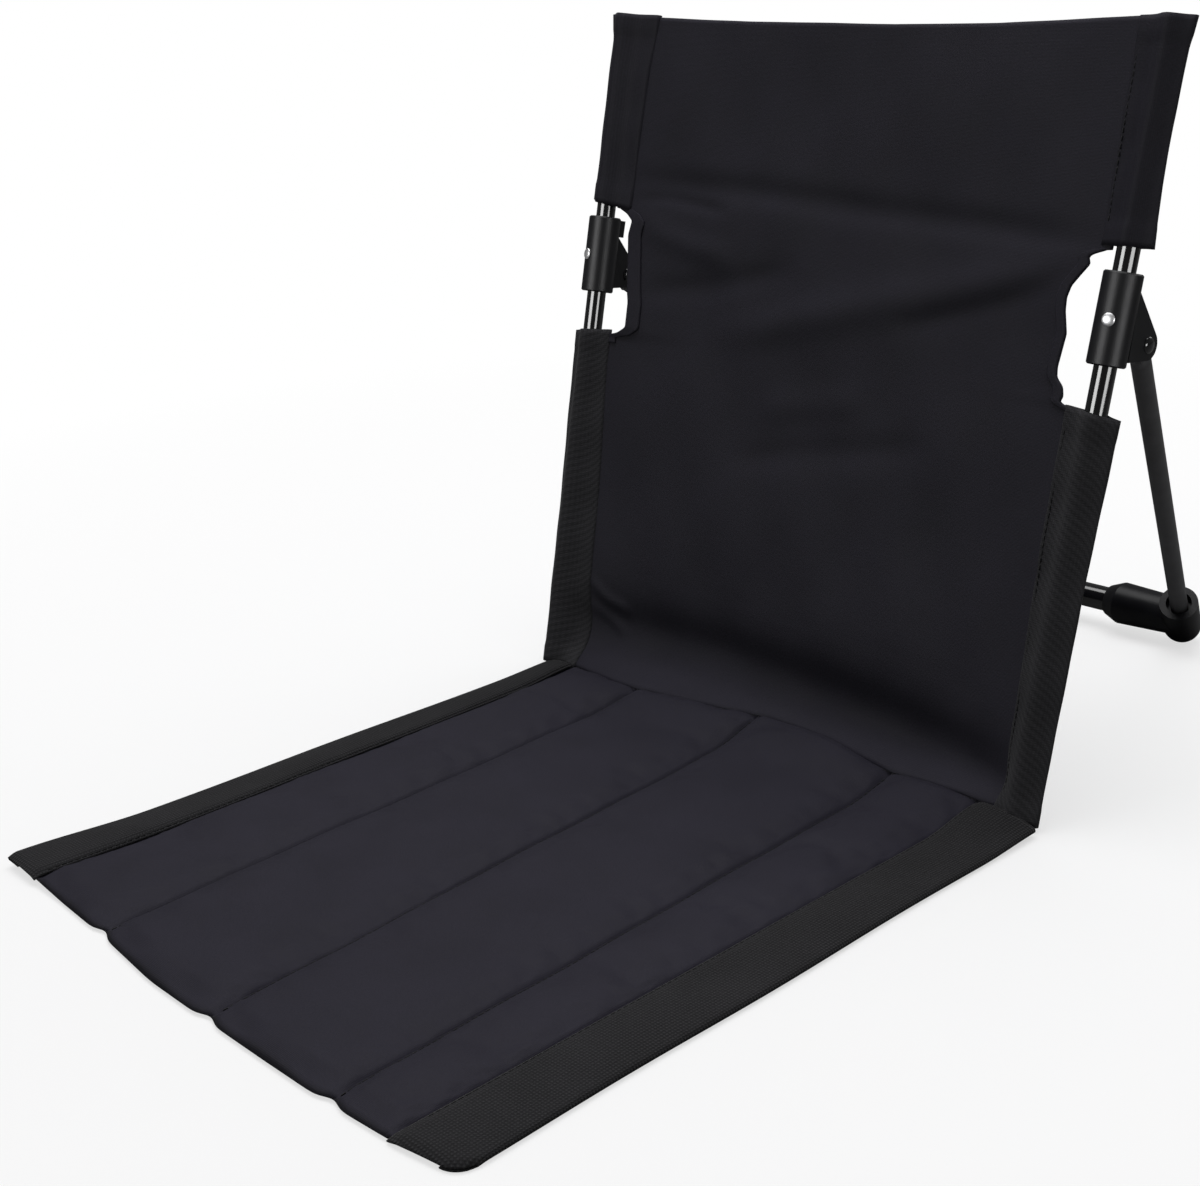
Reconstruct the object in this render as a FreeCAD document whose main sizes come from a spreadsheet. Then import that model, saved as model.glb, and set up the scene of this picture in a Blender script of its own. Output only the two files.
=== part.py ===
import FreeCAD, Part
import math
import os
import Sketcher

Vector = FreeCAD.Vector
Placement = FreeCAD.Placement
Rotation = FreeCAD.Rotation

# A legless folding ground chair: a cloth back held by two upright tubes, a padded seat mat
# that lies on the ground, and a folding stand behind the back.
# +X is the sitter's left, seen from the front as the viewer's right. The chair faces -Y, +Z is up,
# and the origin is on the ground in the middle of the footprint.

# Driving dimensions in millimetres and degrees
DIMENSIONS = {
    "chair_width": 416,
    "back_length": 420,
    "recline": 15.6,
    "cloth": 0.8,
    "upright_inset": 13.5,
    "upright_toe": 1.45,
    "upright_diameter": 12,
    "upright_end": 6.8,
    "tube_wall": 1.2,
    "plug_shank": 14,
    "plug_crown": 4,
    "pocket_width": 27,
    "pocket_depth": 7.9,
    "pocket_seam": 1.6,
    "upper_pocket_start": 306,
    "lower_pocket_start": 3,
    "lower_pocket_end": 219.5,
    "panel_top": 417,
    "panel_bottom": 5,
    "window_depth": 16,
    "sleeve_diameter": 20.4,
    "sleeve_length": 47.8,
    "sleeve_height": 245.7,
    "sleeve_edge": 0.8,
    "rivet_height": 269,
    "rivet_turn": 14,
    "rivet_diameter": 4,
    "rivet_head_diameter": 7,
    "rivet_head_height": 1.2,
    "rivet_grip": 6,
    "pivot_height": 259,
    "pivot_offset": 22.6,
    "pin_diameter": 5,
    "pin_head_diameter": 9,
    "pin_head_height": 1.8,
    "pin_clearance": 0.05,
    "fin_thickness": 4,
    "fin_offset": 6.6,
    "fin_end_radius": 8,
    "fin_top": 39.3,
    "fin_bottom": 3,
    "fin_rim": 3,
    "lip_width": 9,
    "lip_reach": 3,
    "lip_height": 10.5,
    "lip_drop": 1,
    "running_gap": 0.3,
    "leg_diameter": 11,
    "tab_thickness": 4,
    "tab_width": 12,
    "tab_length": 9.2,
    "crimp_length": 6,
    "leg_foot": 1,
    "stand_half_width": 116,
    "stand_reach": 274,
    "stand_height": 18.5,
    "cross_diameter": 16,
    "cross_end_gap": 14,
    "elbow_length": 52,
    "elbow_shoulder": 9,
    "elbow_bulb_radius": 13.7,
    "elbow_lip_radius": 10,
    "elbow_round": 2.5,
    "socket_radius": 12,
    "socket_length": 19,
    "socket_mouth_radius": 8,
    "socket_mouth_depth": 6,
    "foot_flat": 0.5,
    "layer_gap": 0.1,
    "foam_gap": 3.2,
    "seat_length": 397,
    "seat_corner_setback": 10,
    "seat_hinge_gap": 11,
    "seat_front_half_width": 200,
    "seat_rear_half_width": 193,
    "seat_hem_width": 26,
    "seat_seam_spacing": 105,
    "seat_seam_drift": 12,
    "seat_wide_crown": 5,
    "seat_narrow_crown": 4,
    "seat_scallop": 3,
}

doc = FreeCAD.newDocument("ground_chair")
sheet = doc.addObject("Spreadsheet::Sheet", "dims")
for row, (alias, number) in enumerate(DIMENSIONS.items(), start=1):
    sheet.set("A%d" % row, alias)
    sheet.set("B%d" % row, str(number))
    sheet.setAlias("B%d" % row, alias)
doc.recompute()

SIDES = (("left", -1), ("right", 1))
X_AXIS = Vector(1, 0, 0)
Y_AXIS = Vector(0, 1, 0)
Z_AXIS = Vector(0, 0, 1)
sub_parts = []


def size(alias):
    """A driving dimension, read from the sheet."""
    return float(sheet.get(alias))


def finished(item, label, placement=None):
    """Enter an object as a sub-part under its own label."""
    item.Label = label
    if placement is not None:
        item.Placement = placement
    sub_parts.append(item)
    return item


def primitive(kind, name, sizes, base=Vector(), direction=Z_AXIS):
    """A Part primitive with sizes bound to the sheet and its own Z along the direction."""
    item = doc.addObject("Part::" + kind, name)
    for prop, expression in sizes.items():
        item.setExpression(prop, expression)
    item.Placement = Placement(base, Rotation(Z_AXIS, direction))
    return item


def cylinder(name, radius, height, base=Vector(), direction=Z_AXIS):
    return primitive("Cylinder", name, {"Radius": radius, "Height": height}, base, direction)


def dome(name, radius, height, base, direction):
    """Half an ellipsoid standing on a round base."""
    item = primitive("Ellipsoid", name, {"Radius1": height, "Radius2": radius, "Radius3": radius},
                     base, direction)
    item.Angle1 = 0
    item.Angle2 = 90
    return item


def fuse(name, shapes):
    item = doc.addObject("Part::MultiFuse", name)
    item.Shapes = shapes
    item.Refine = True
    return item


def cut(name, base, tool):
    item = doc.addObject("Part::Cut", name)
    item.Base = base
    item.Tool = tool
    item.Refine = True
    return item


def arc_between(first, second, bulge):
    """An arc with its middle moved by the bulge vector."""
    return Part.Arc(first, (first + second) * 0.5 + bulge, second).toShape()


# Padded seat mat: a ground cloth, foam strips in sewn channels, a top cloth and side hems
# Stations along the mat from the crease to the front edge, with the share of the full crown
SEAT_STATIONS = ((0.0, 0.25), (0.08, 0.85), (0.5, 1.0), (0.92, 0.9), (1.0, 0.2))


def seat_half_width(share):
    return size("seat_rear_half_width") * (1 - share) + size("seat_front_half_width") * share


def seat_y(share):
    rear = size("seat_hinge_gap") + 1
    return -rear - (size("seat_length") - rear) * share


def seat_lines(share):
    """X of the hem seams and channel seams, from left to right; the channels drift to one side."""
    hem = seat_half_width(share) - size("seat_hem_width")
    spacing = size("seat_seam_spacing")
    middle = size("seat_seam_drift") * share
    return [-hem, middle - spacing, middle, middle + spacing, hem]


def seat_crowns(share):
    wide = size("seat_wide_crown") * share
    narrow = size("seat_narrow_crown") * share
    return [narrow, wide, wide, narrow]


def seat_plan(low, high):
    """The mat's outline from above, with a front edge that swells between the seams."""
    front_lines = [-seat_half_width(1)] + seat_lines(1)[1:-1] + [seat_half_width(1)]
    rear_half = seat_half_width(0)
    setback = size("seat_corner_setback")
    points = []
    for x in front_lines:
        drawn_back = size("seat_scallop") + setback * (x / seat_half_width(1)) ** 2
        points.append(Vector(x, seat_y(1) + drawn_back, low))
    edges = []
    for first, second in zip(points, points[1:]):
        edges.append(arc_between(first, second, -Y_AXIS * size("seat_scallop")))
    rear_right = Vector(rear_half, seat_y(0), low)
    rear_left = Vector(-rear_half, seat_y(0), low)
    edges.append(Part.LineSegment(points[-1], rear_right).toShape())
    edges.append(Part.LineSegment(rear_right, rear_left).toShape())
    edges.append(Part.LineSegment(rear_left, points[0]).toShape())
    return Part.Face(Part.Wire(edges)).extrude(Z_AXIS * (high - low))


# Main places: the back's own frame has Z up the back and Y towards the rear
# The uprights lean a little: they are nearer to each other at the foot than at the top,
# and tube_x is where they are at the height of the leg's pivot
toe_slope = math.tan(math.radians(size("upright_toe")))
tube_x = size("chair_width") / 2 - size("upright_inset")
tube_x -= (size("back_length") - size("pivot_height")) * toe_slope
tilt = Rotation(X_AXIS, -size("recline"))
pivot_in_back = Vector(0, size("pivot_offset"), size("pivot_height"))
# A fork of two fins holds each leg's tab, which lies beside the middle of the upright
fin_spacing = size("fin_thickness") + size("tab_thickness") + 2 * size("running_gap")
FIN_SPACING_WORDS = "dims.fin_thickness + dims.tab_thickness + 2 * dims.running_gap"
tab_offset = size("fin_offset") - fin_spacing / 2
tab_x = tube_x + tab_offset


def stand_line(crease_y):
    """Centre of the right elbow, pivot of the right leg and direction of that leg."""
    elbow = Vector(size("stand_half_width"), crease_y + size("stand_reach"), size("stand_height"))
    pivot = tilt.multVec(pivot_in_back) + Vector(tab_x, crease_y, 0)
    return elbow, pivot, (pivot - elbow).normalize()


# The foot is a ball at the lower end of the leg socket, cut flat on the ground
leg_slope = stand_line(0)[2]
foot_drop = (size("stand_height") - size("socket_radius") + size("foot_flat")) / leg_slope.z
rear_reach = size("stand_reach") - foot_drop * leg_slope.y + size("socket_radius")
front_reach = -seat_plan(0, size("cloth")).BoundBox.YMin
crease_y = (front_reach - rear_reach) / 2
back_frame = Placement(Vector(0, crease_y, 0), tilt)
seat_frame = Placement(Vector(0, crease_y, 0), Rotation())
elbow_point, pivot_point, leg_direction = stand_line(crease_y)


def mirrored(point, side):
    return Vector(point.x * side, point.y, point.z)


def lean(side):
    return Rotation(Y_AXIS, side * size("upright_toe"))


def on_upright(side, rear, up):
    """Placement of a piece on an upright, with its own Z along the tube."""
    middle = Placement(Vector(side * tube_x, 0, size("pivot_height")), lean(side))
    offset = Placement(Vector(0, rear, up - size("pivot_height")), Rotation())
    return back_frame.multiply(middle).multiply(offset)


def rivet_turn(side):
    """The sleeve's rivet sits a little round the tube, towards the chair's outer side."""
    return Rotation(Z_AXIS, side * size("rivet_turn"))


def sleeve_rivet_place(side):
    """On the front of the sleeve, pointing into the upright."""
    turned = on_upright(side, 0, size("rivet_height")).multiply(Placement(Vector(), rivet_turn(side)))
    front = Vector(0, -size("sleeve_diameter") / 2, 0)
    return turned.multiply(Placement(front, Rotation(Z_AXIS, Y_AXIS)))


# Upright tubes with their end plugs
def upright_tube(label, side):
    length = "dims.back_length - 2 * dims.upright_end"
    outer = cylinder(label + "_outer", "dims.upright_diameter / 2", length)
    inner = cylinder(label + "_inner", "dims.upright_diameter / 2 - dims.tube_wall", length)
    hole_height = size("rivet_height") - size("upright_end")
    hole = cylinder(label + "_hole", "dims.rivet_diameter / 2", "dims.upright_diameter",
                    Vector(0, 0, hole_height), rivet_turn(side).multVec(-Y_AXIS))
    drilled = cut(label + "_pipe", outer, inner)
    finished(cut(label + "_tube", drilled, hole), label, on_upright(side, 0, size("upright_end")))


def upright_plug(label, side, end, up, crown):
    """A push-in plug; end is +1 for the top of the tube and -1 for its foot."""
    shank = cylinder(label + "_shank", "dims.upright_diameter / 2 - dims.tube_wall", "dims.plug_shank",
                     Vector(), Vector(0, 0, -end))
    head = dome(label + "_head", "dims.upright_diameter / 2", crown, Vector(), Vector(0, 0, end))
    finished(fuse(label + "_plug", [shank, head]), label, on_upright(side, 0, up))


# Hinge sleeves: a collar round the upright with a fin behind it, outside the leg that it carries
def sketch_on(body, name, role):
    sketch = body.newObject("Sketcher::SketchObject", name)
    plane = [feature for feature in body.Origin.OriginFeatures if feature.Role == role][0]
    sketch.AttachmentSupport = [(plane, "")]
    sketch.MapMode = "FlatFace"
    return sketch


def bind(sketch, constraint, expression):
    index = sketch.addConstraint(constraint)
    sketch.setExpression("Constraints[%d]" % index, expression)


def fix_point(sketch, geometry, corner, across, along):
    """Hold one point of a sketch at two sheet expressions, from where it is drawn."""
    point = sketch.getPoint(geometry, corner)
    bind(sketch, Sketcher.Constraint("DistanceX", -1, 1, geometry, corner, point.x), across)
    bind(sketch, Sketcher.Constraint("DistanceY", -1, 1, geometry, corner, point.y), along)


def circle_sketch(body, name, role, radius, centre=None, drawn=(0, 0, 1)):
    """A circle; drawn holds its centre and radius as first drawn, centre their expressions."""
    sketch = sketch_on(body, name, role)
    circle = Part.Circle(Vector(drawn[0], drawn[1], 0), Z_AXIS, drawn[2])
    index = sketch.addGeometry(circle, False)
    bind(sketch, Sketcher.Constraint("Radius", index, drawn[2]), radius)
    if centre is None:
        sketch.addConstraint(Sketcher.Constraint("Coincident", index, 3, -1, 1))
    else:
        fix_point(sketch, index, 3, centre[0], centre[1])
    return sketch


def pad(body, sketch, name, length, midplane=False, reverse=False):
    feature = body.newObject("PartDesign::Pad", name)
    feature.Profile = sketch
    feature.setExpression("Length", length)
    feature.SideType = "Symmetric" if midplane else "One side"
    feature.Reversed = reverse
    body.Tip = feature
    doc.recompute()
    return feature


def pocket_through(body, sketch, name, length=None, reverse=False):
    """A hole through the whole piece, or to a length on one side of the sketch."""
    before = body.Shape.Volume
    feature = body.newObject("PartDesign::Pocket", name)
    feature.Profile = sketch
    if length is None:
        feature.Type = "ThroughAll"
        feature.SideType = "Symmetric"
    else:
        feature.setExpression("Length", length)
        feature.Reversed = reverse
    body.Tip = feature
    doc.recompute()
    if body.Shape.Volume >= before:
        raise RuntimeError(name + " cut nothing")
    return feature


def tangent_point(start, centre, radius, turn):
    """Where a line from the start touches a circle, on the side given by turn."""
    reach = centre - start
    angle = math.atan2(reach.y, reach.x) + turn * math.asin(radius / reach.Length)
    length = math.sqrt(reach.Length ** 2 - radius ** 2)
    return start + Vector(math.cos(angle), math.sin(angle), 0) * length


def fin_sketch(body, name):
    """Outline of a fin: a slanted upper edge and a round end about the leg's pivot."""
    sketch = sketch_on(body, name, "YZ_Plane")
    root = size("upright_diameter") / 2
    radius = size("fin_end_radius")
    pivot = Vector(size("pivot_offset"), size("pivot_height") - size("sleeve_height"), 0)
    top = Vector(root, size("fin_top"), 0)
    bottom = Vector(root, size("fin_bottom"), 0)
    upper = tangent_point(top, pivot, radius, 1)
    lower = tangent_point(bottom, pivot, radius, -1)
    start = math.atan2(lower.y - pivot.y, lower.x - pivot.x)
    end = math.atan2(upper.y - pivot.y, upper.x - pivot.x)
    slope = sketch.addGeometry(Part.LineSegment(upper, top), False)
    wall = sketch.addGeometry(Part.LineSegment(top, bottom), False)
    under = sketch.addGeometry(Part.LineSegment(bottom, lower), False)
    nose = sketch.addGeometry(Part.ArcOfCircle(Part.Circle(pivot, Z_AXIS, radius), start, end), False)
    sketch.addConstraint(Sketcher.Constraint("Coincident", slope, 2, wall, 1))
    sketch.addConstraint(Sketcher.Constraint("Coincident", wall, 2, under, 1))
    sketch.addConstraint(Sketcher.Constraint("Tangent", under, 2, nose, 1))
    sketch.addConstraint(Sketcher.Constraint("Tangent", nose, 2, slope, 1))
    fix_point(sketch, wall, 1, "dims.upright_diameter / 2", "dims.fin_top")
    fix_point(sketch, wall, 2, "dims.upright_diameter / 2", "dims.fin_bottom")
    fix_point(sketch, nose, 3, "dims.pivot_offset", "dims.pivot_height - dims.sleeve_height")
    bind(sketch, Sketcher.Constraint("Radius", nose, radius), "dims.fin_end_radius")
    return sketch


def roof_sketch(body, name):
    """The hood between the fins: it lies above the opened leg, which rests against it."""
    sketch = sketch_on(body, name, "YZ_Plane")
    root = size("sleeve_diameter") / 2 - size("tube_wall")
    pivot = Vector(size("pivot_offset"), size("pivot_height") - size("sleeve_height"), 0)
    top = Vector(size("upright_diameter") / 2, size("fin_top"), 0)
    touch = tangent_point(top, pivot, size("fin_end_radius"), 1)
    slope = (touch - top).normalize()
    inset = top + Vector(slope.y, -slope.x, 0) * size("fin_rim")
    start = inset + slope * ((root - inset.x) / slope.x)
    leg_in_back = tilt.inverted().multVec(leg_direction)
    along = Vector(-leg_in_back.y, -leg_in_back.z, 0).normalize()
    near = pivot + Vector(-along.y, along.x, 0) * (size("tab_width") / 2 + size("running_gap"))
    foot = near - along * ((near.x - root) / along.x)
    end = start + slope * ((near - start).cross(along).z / slope.cross(along).z)
    corners = [start, end, foot]
    for first, second in zip(corners, corners[1:] + corners[:1]):
        line = sketch.addGeometry(Part.LineSegment(first, second), False)
        sketch.addConstraint(Sketcher.Constraint("Block", line))
    return sketch


def lip_sketch(body, name):
    """The square lip behind the collar's upper end."""
    sketch = sketch_on(body, name, "YZ_Plane")
    reach = ("0", "dims.sleeve_diameter / 2 + dims.lip_reach")
    rise = ("dims.sleeve_length - dims.lip_drop - dims.lip_height", "dims.sleeve_length - dims.lip_drop")
    top = size("sleeve_length") - size("lip_drop")
    drawn_reach = (0, size("sleeve_diameter") / 2 + size("lip_reach"))
    drawn_rise = (top - size("lip_height"), top)
    order = ((0, 0), (1, 0), (1, 1), (0, 1))
    drawn = [Vector(drawn_reach[across], drawn_rise[up], 0) for across, up in order]
    lines = [sketch.addGeometry(Part.LineSegment(first, second), False)
             for first, second in zip(drawn, drawn[1:] + drawn[:1])]
    for line, following, (across, up) in zip(lines, lines[1:] + lines[:1], order[1:] + order[:1]):
        sketch.addConstraint(Sketcher.Constraint("Coincident", line, 2, following, 1))
        fix_point(sketch, line, 2, reach[across], rise[up])
    return sketch


def hinge_sleeve(label, side):
    """The collar leans with its upright; the fins and the pivot stand square to the leg's axis."""
    body = doc.addObject("PartDesign::Body", label)
    pivot_rise = size("pivot_height") - size("sleeve_height")
    leaning = Placement(Vector(-side * pivot_rise * toe_slope, 0, 0), lean(side))
    collar = circle_sketch(body, label + "_collar", "XY_Plane", "dims.sleeve_diameter / 2",
                           drawn=(0, 0, size("sleeve_diameter") / 2))
    collar.AttachmentOffset = leaning
    collar_pad = pad(body, collar, label + "_collar_pad", "dims.sleeve_length")
    ends = [edge for edge in range(1, len(body.Shape.Edges) + 1)
            if isinstance(body.Shape.Edges[edge - 1].Curve, Part.Circle)]
    bevel = body.newObject("PartDesign::Chamfer", label + "_bevel")
    bevel.Base = (collar_pad, ["Edge%d" % edge for edge in ends])
    bevel.setExpression("Size", "dims.sleeve_edge")
    body.Tip = bevel
    doc.recompute()
    for word, offset in (("outer", size("fin_offset")), ("inner", size("fin_offset") - fin_spacing)):
        fin = fin_sketch(body, "%s_%s_fin" % (label, word))
        fin.AttachmentOffset = Placement(Vector(0, 0, side * offset), Rotation())
        pad(body, fin, "%s_%s_fin_pad" % (label, word), "dims.fin_thickness", midplane=True)
    roof = roof_sketch(body, label + "_roof")
    roof.AttachmentOffset = Placement(Vector(0, 0, side * tab_offset), Rotation())
    pad(body, roof, label + "_roof_pad", FIN_SPACING_WORDS, midplane=True)
    pad(body, lip_sketch(body, label + "_lip"), label + "_lip_pad", "dims.lip_width", midplane=True)
    bore = circle_sketch(body, label + "_bore", "XY_Plane", "dims.upright_diameter / 2",
                         drawn=(0, 0, size("upright_diameter") / 2))
    bore.AttachmentOffset = leaning
    pocket_through(body, bore, label + "_bore_cut")
    pivot_hole = circle_sketch(body, label + "_pivot", "YZ_Plane", "dims.pin_diameter / 2",
                               ("dims.pivot_offset", "dims.pivot_height - dims.sleeve_height"),
                               (size("pivot_offset"), pivot_rise, size("pin_diameter") / 2))
    pocket_through(body, pivot_hole, label + "_pivot_cut")
    rivet_hole = circle_sketch(body, label + "_rivet", "XZ_Plane", "dims.rivet_diameter / 2",
                               drawn=(0, 0, size("rivet_diameter") / 2))
    rivet_spot = lean(side).multVec(Z_AXIS * (size("rivet_height") - size("pivot_height")))
    rivet_spot = rivet_spot + Z_AXIS * pivot_rise
    plane = Placement(Vector(), Rotation(X_AXIS, 90))
    turned = Placement(rivet_spot, lean(side).multiply(rivet_turn(side)))
    rivet_hole.AttachmentOffset = plane.inverse().multiply(turned).multiply(plane)
    pocket_through(body, rivet_hole, label + "_rivet_cut", "dims.sleeve_diameter", reverse=True)
    upright_spot = Placement(Vector(side * tube_x, 0, size("sleeve_height")), Rotation())
    finished(body, label, back_frame.multiply(upright_spot))


def rivet(label, placement):
    """A round-headed rivet: its shank runs along +Z, its head stands below."""
    shank = cylinder(label + "_shank", "dims.rivet_diameter / 2", "dims.rivet_grip")
    head = dome(label + "_head", "dims.rivet_head_diameter / 2", "dims.rivet_head_height", Vector(), -Z_AXIS)
    finished(fuse(label + "_rivet", [shank, head]), label, placement)


def pivot_pin(label, side):
    """The riveted pin that a leg turns on, headed on the far side of both fins."""
    length = fin_spacing + size("fin_thickness")
    shank = cylinder(label + "_shank", "dims.pin_diameter / 2", FIN_SPACING_WORDS + " + dims.fin_thickness")
    inner = dome(label + "_inner", "dims.pin_head_diameter / 2", "dims.pin_head_height", Vector(), -Z_AXIS)
    outer = dome(label + "_outer", "dims.pin_head_diameter / 2", "dims.pin_head_height",
                 Vector(0, 0, length), Z_AXIS)
    outside = tube_x + size("fin_offset") + size("fin_thickness") / 2
    spot = Vector(side * outside, size("pivot_offset"), size("pivot_height"))
    turned = Placement(spot, Rotation(Z_AXIS, X_AXIS * -side))
    finished(fuse(label + "_pin", [shank, inner, outer]), label, back_frame.multiply(turned))


# Folding stand: two legs with flattened upper ends, two moulded elbows and a cross tube
def stadium_wire(centre, across, thick, half_width, half_thick):
    """A flattened tube section: two straight sides joined by two low arcs."""
    flat = half_width - half_thick
    corners = []
    for along, up in ((1, 1), (-1, 1), (-1, -1), (1, -1)):
        corners.append(centre + across * (along * flat) + thick * (up * half_thick))
    ends = (centre - across * half_width, centre + across * half_width)
    edges = [Part.LineSegment(corners[0], corners[1]).toShape(),
             Part.Arc(corners[1], ends[0], corners[2]).toShape(),
             Part.LineSegment(corners[2], corners[3]).toShape(),
             Part.Arc(corners[3], ends[1], corners[0]).toShape()]
    return Part.Wire(edges)


def round_wire(centre, across, thick, radius, corner_angle):
    """A circle in four arcs that pair with the four edges of the flattened section."""
    def at(angle):
        return centre + across * (radius * math.cos(angle)) + thick * (radius * math.sin(angle))

    marks = (corner_angle, math.pi - corner_angle, math.pi + corner_angle, 2 * math.pi - corner_angle)
    edges = []
    for first, second in zip(marks, marks[1:] + (marks[0] + 2 * math.pi,)):
        edges.append(Part.Arc(at(first), at((first + second) / 2), at(second)).toShape())
    return Part.Wire(edges)


def tab_plate(start, pivot, across, along):
    """The leg's flattened end: a plate with a round end about the pivot."""
    half = size("tab_width") / 2
    near = start - X_AXIS * (size("tab_thickness") / 2)
    far = pivot - X_AXIS * (size("tab_thickness") / 2)
    corners = [near - across * half, far - across * half, far + across * half, near + across * half]
    edges = [Part.LineSegment(corners[0], corners[1]).toShape(),
             Part.Arc(corners[1], far + along * half, corners[2]).toShape(),
             Part.LineSegment(corners[2], corners[3]).toShape(),
             Part.LineSegment(corners[3], corners[0]).toShape()]
    return Part.Face(Part.Wire(edges)).extrude(X_AXIS * size("tab_thickness"))


def leg_tube(label, side):
    elbow = mirrored(elbow_point, side)
    pivot = mirrored(pivot_point, side)
    toward = mirrored(leg_direction, side)
    flat_direction = Vector(0, toward.y, toward.z).normalize()
    across = X_AXIS.cross(flat_direction)
    tube_end = pivot - toward * (size("tab_length") + size("crimp_length"))
    tab_end = pivot - flat_direction * size("tab_length")
    foot = elbow + toward * size("leg_foot")
    radius = size("leg_diameter") / 2
    crimp = doc.addObject("Part::Feature", label + "_crimp")
    sideways = (X_AXIS - toward * toward.x).normalize()
    round_end = round_wire(tube_end, across, sideways, radius, math.pi / 4)
    flat_end = stadium_wire(tab_end, across, X_AXIS, size("tab_width") / 2, size("tab_thickness") / 2)
    crimp.Shape = Part.makeLoft([round_end, flat_end], True, True)
    outer = doc.addObject("Part::Cylinder", label + "_outer")
    inner = doc.addObject("Part::Cylinder", label + "_inner")
    for item, shrink in ((outer, "0"), (inner, "dims.tube_wall")):
        item.setExpression("Radius", "dims.leg_diameter / 2 - " + shrink)
        item.Height = (tube_end - foot).Length
        item.Placement = Placement(foot, Rotation(Z_AXIS, toward))
    tab = doc.addObject("Part::Feature", label + "_tab")
    tab.Shape = tab_plate(tab_end, pivot, across, flat_direction)
    start = pivot - X_AXIS * (size("tab_thickness") / 2)
    hole = cylinder(label + "_hole", "dims.pin_diameter / 2 + dims.pin_clearance", "dims.tab_thickness",
                    start, X_AXIS)
    solid = fuse(label + "_solid", [outer, crimp, tab])
    finished(cut(label + "_leg", cut(label + "_pipe", solid, inner), hole), label)


def elbow(label, side):
    """The moulded corner: a sleeve on the cross tube, a socket for the leg and a round foot."""
    centre = mirrored(elbow_point, side)
    toward = mirrored(leg_direction, side)
    inward = X_AXIS * -side
    shoulder_base = centre + inward * (size("elbow_length") - size("elbow_shoulder"))
    bulb = primitive("Cone", label + "_bulb",
                     {"Radius1": "dims.socket_radius", "Radius2": "dims.elbow_bulb_radius",
                      "Height": "dims.elbow_length - dims.elbow_shoulder"}, centre, inward)
    shoulder = primitive("Cone", label + "_shoulder",
                         {"Radius1": "dims.elbow_bulb_radius", "Radius2": "dims.elbow_lip_radius",
                          "Height": "dims.elbow_shoulder"}, shoulder_base, inward)
    ball = primitive("Sphere", label + "_ball", {"Radius": "dims.socket_radius"}, centre)
    foot_centre = centre - toward * foot_drop
    foot = primitive("Sphere", label + "_foot", {"Radius": "dims.socket_radius"}, foot_centre)
    socket = cylinder(label + "_socket", "dims.socket_radius", "dims.socket_length", foot_centre, toward)
    socket.setExpression("Height", "dims.socket_length + %.6f" % foot_drop)
    outside = fuse(label + "_outside", [bulb, shoulder, ball, foot, socket])
    doc.recompute()
    rounded = doc.addObject("Part::Fillet", label + "_rounded")
    rounded.Base = outside
    rounded.Edges = [(index, size("elbow_round"), size("elbow_round"))
                     for index, edge in enumerate(outside.Shape.Edges, start=1)
                     if is_shoulder_edge(edge, shoulder_base)]
    cross_start = centre + inward * size("cross_end_gap")
    cross_bore = cylinder(label + "_cross_bore", "dims.cross_diameter / 2", "dims.elbow_length",
                          cross_start, inward)
    leg_bore = cylinder(label + "_leg_bore", "dims.leg_diameter / 2", "2 * dims.socket_length",
                        centre + toward * size("leg_foot"), toward)
    mouth_start = centre + toward * (size("socket_length") - size("socket_mouth_depth"))
    mouth = cylinder(label + "_mouth", "dims.socket_mouth_radius", "2 * dims.socket_mouth_depth",
                     mouth_start, toward)
    ground = doc.addObject("Part::Box", label + "_ground")
    ground.setExpression("Length", "8 * dims.socket_radius")
    ground.setExpression("Width", "8 * dims.socket_radius")
    ground.setExpression("Height", "2 * dims.socket_radius")
    half = 4 * size("socket_radius")
    ground.Placement = Placement(Vector(centre.x - half, centre.y - half, -half / 2), Rotation())
    holes = [rivet_hole(label + "_cross_hole", cross_rivet_place(side)),
             rivet_hole(label + "_leg_hole", leg_rivet_place(side))]
    tools = fuse(label + "_hollows", [cross_bore, leg_bore, mouth, ground] + holes)
    finished(cut(label + "_elbow", rounded, tools), label)


def is_shoulder_edge(edge, shoulder_base):
    """True for the circle where the elbow's sleeve turns into its tapered shoulder."""
    if edge.Degenerated or not isinstance(edge.Curve, Part.Circle):
        return False
    return (edge.Curve.Center - shoulder_base).Length < size("layer_gap")


def rivet_hole(name, placement):
    hole = cylinder(name, "dims.rivet_diameter / 2", "dims.rivet_grip + 2 * dims.tube_wall")
    hole.Placement = placement.multiply(Placement(Vector(0, 0, -2 * size("tube_wall")), Rotation()))
    return hole


def cross_rivet_place(side):
    """On the rear of the elbow's sleeve, pointing into the cross tube."""
    spot = mirrored(elbow_point, side) - X_AXIS * (side * size("elbow_length") / 2)
    spot = spot + Y_AXIS * size("elbow_bulb_radius")
    return Placement(spot, Rotation(Z_AXIS, -Y_AXIS))


def leg_rivet_place(side):
    """On the rear of the leg socket, pointing into the leg."""
    toward = mirrored(leg_direction, side)
    rearward = toward.cross(X_AXIS).normalize()
    spot = mirrored(elbow_point, side) + toward * (size("socket_length") / 2)
    spot = spot + rearward * size("socket_radius")
    return Placement(spot, Rotation(Z_AXIS, rearward * -1))


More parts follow.
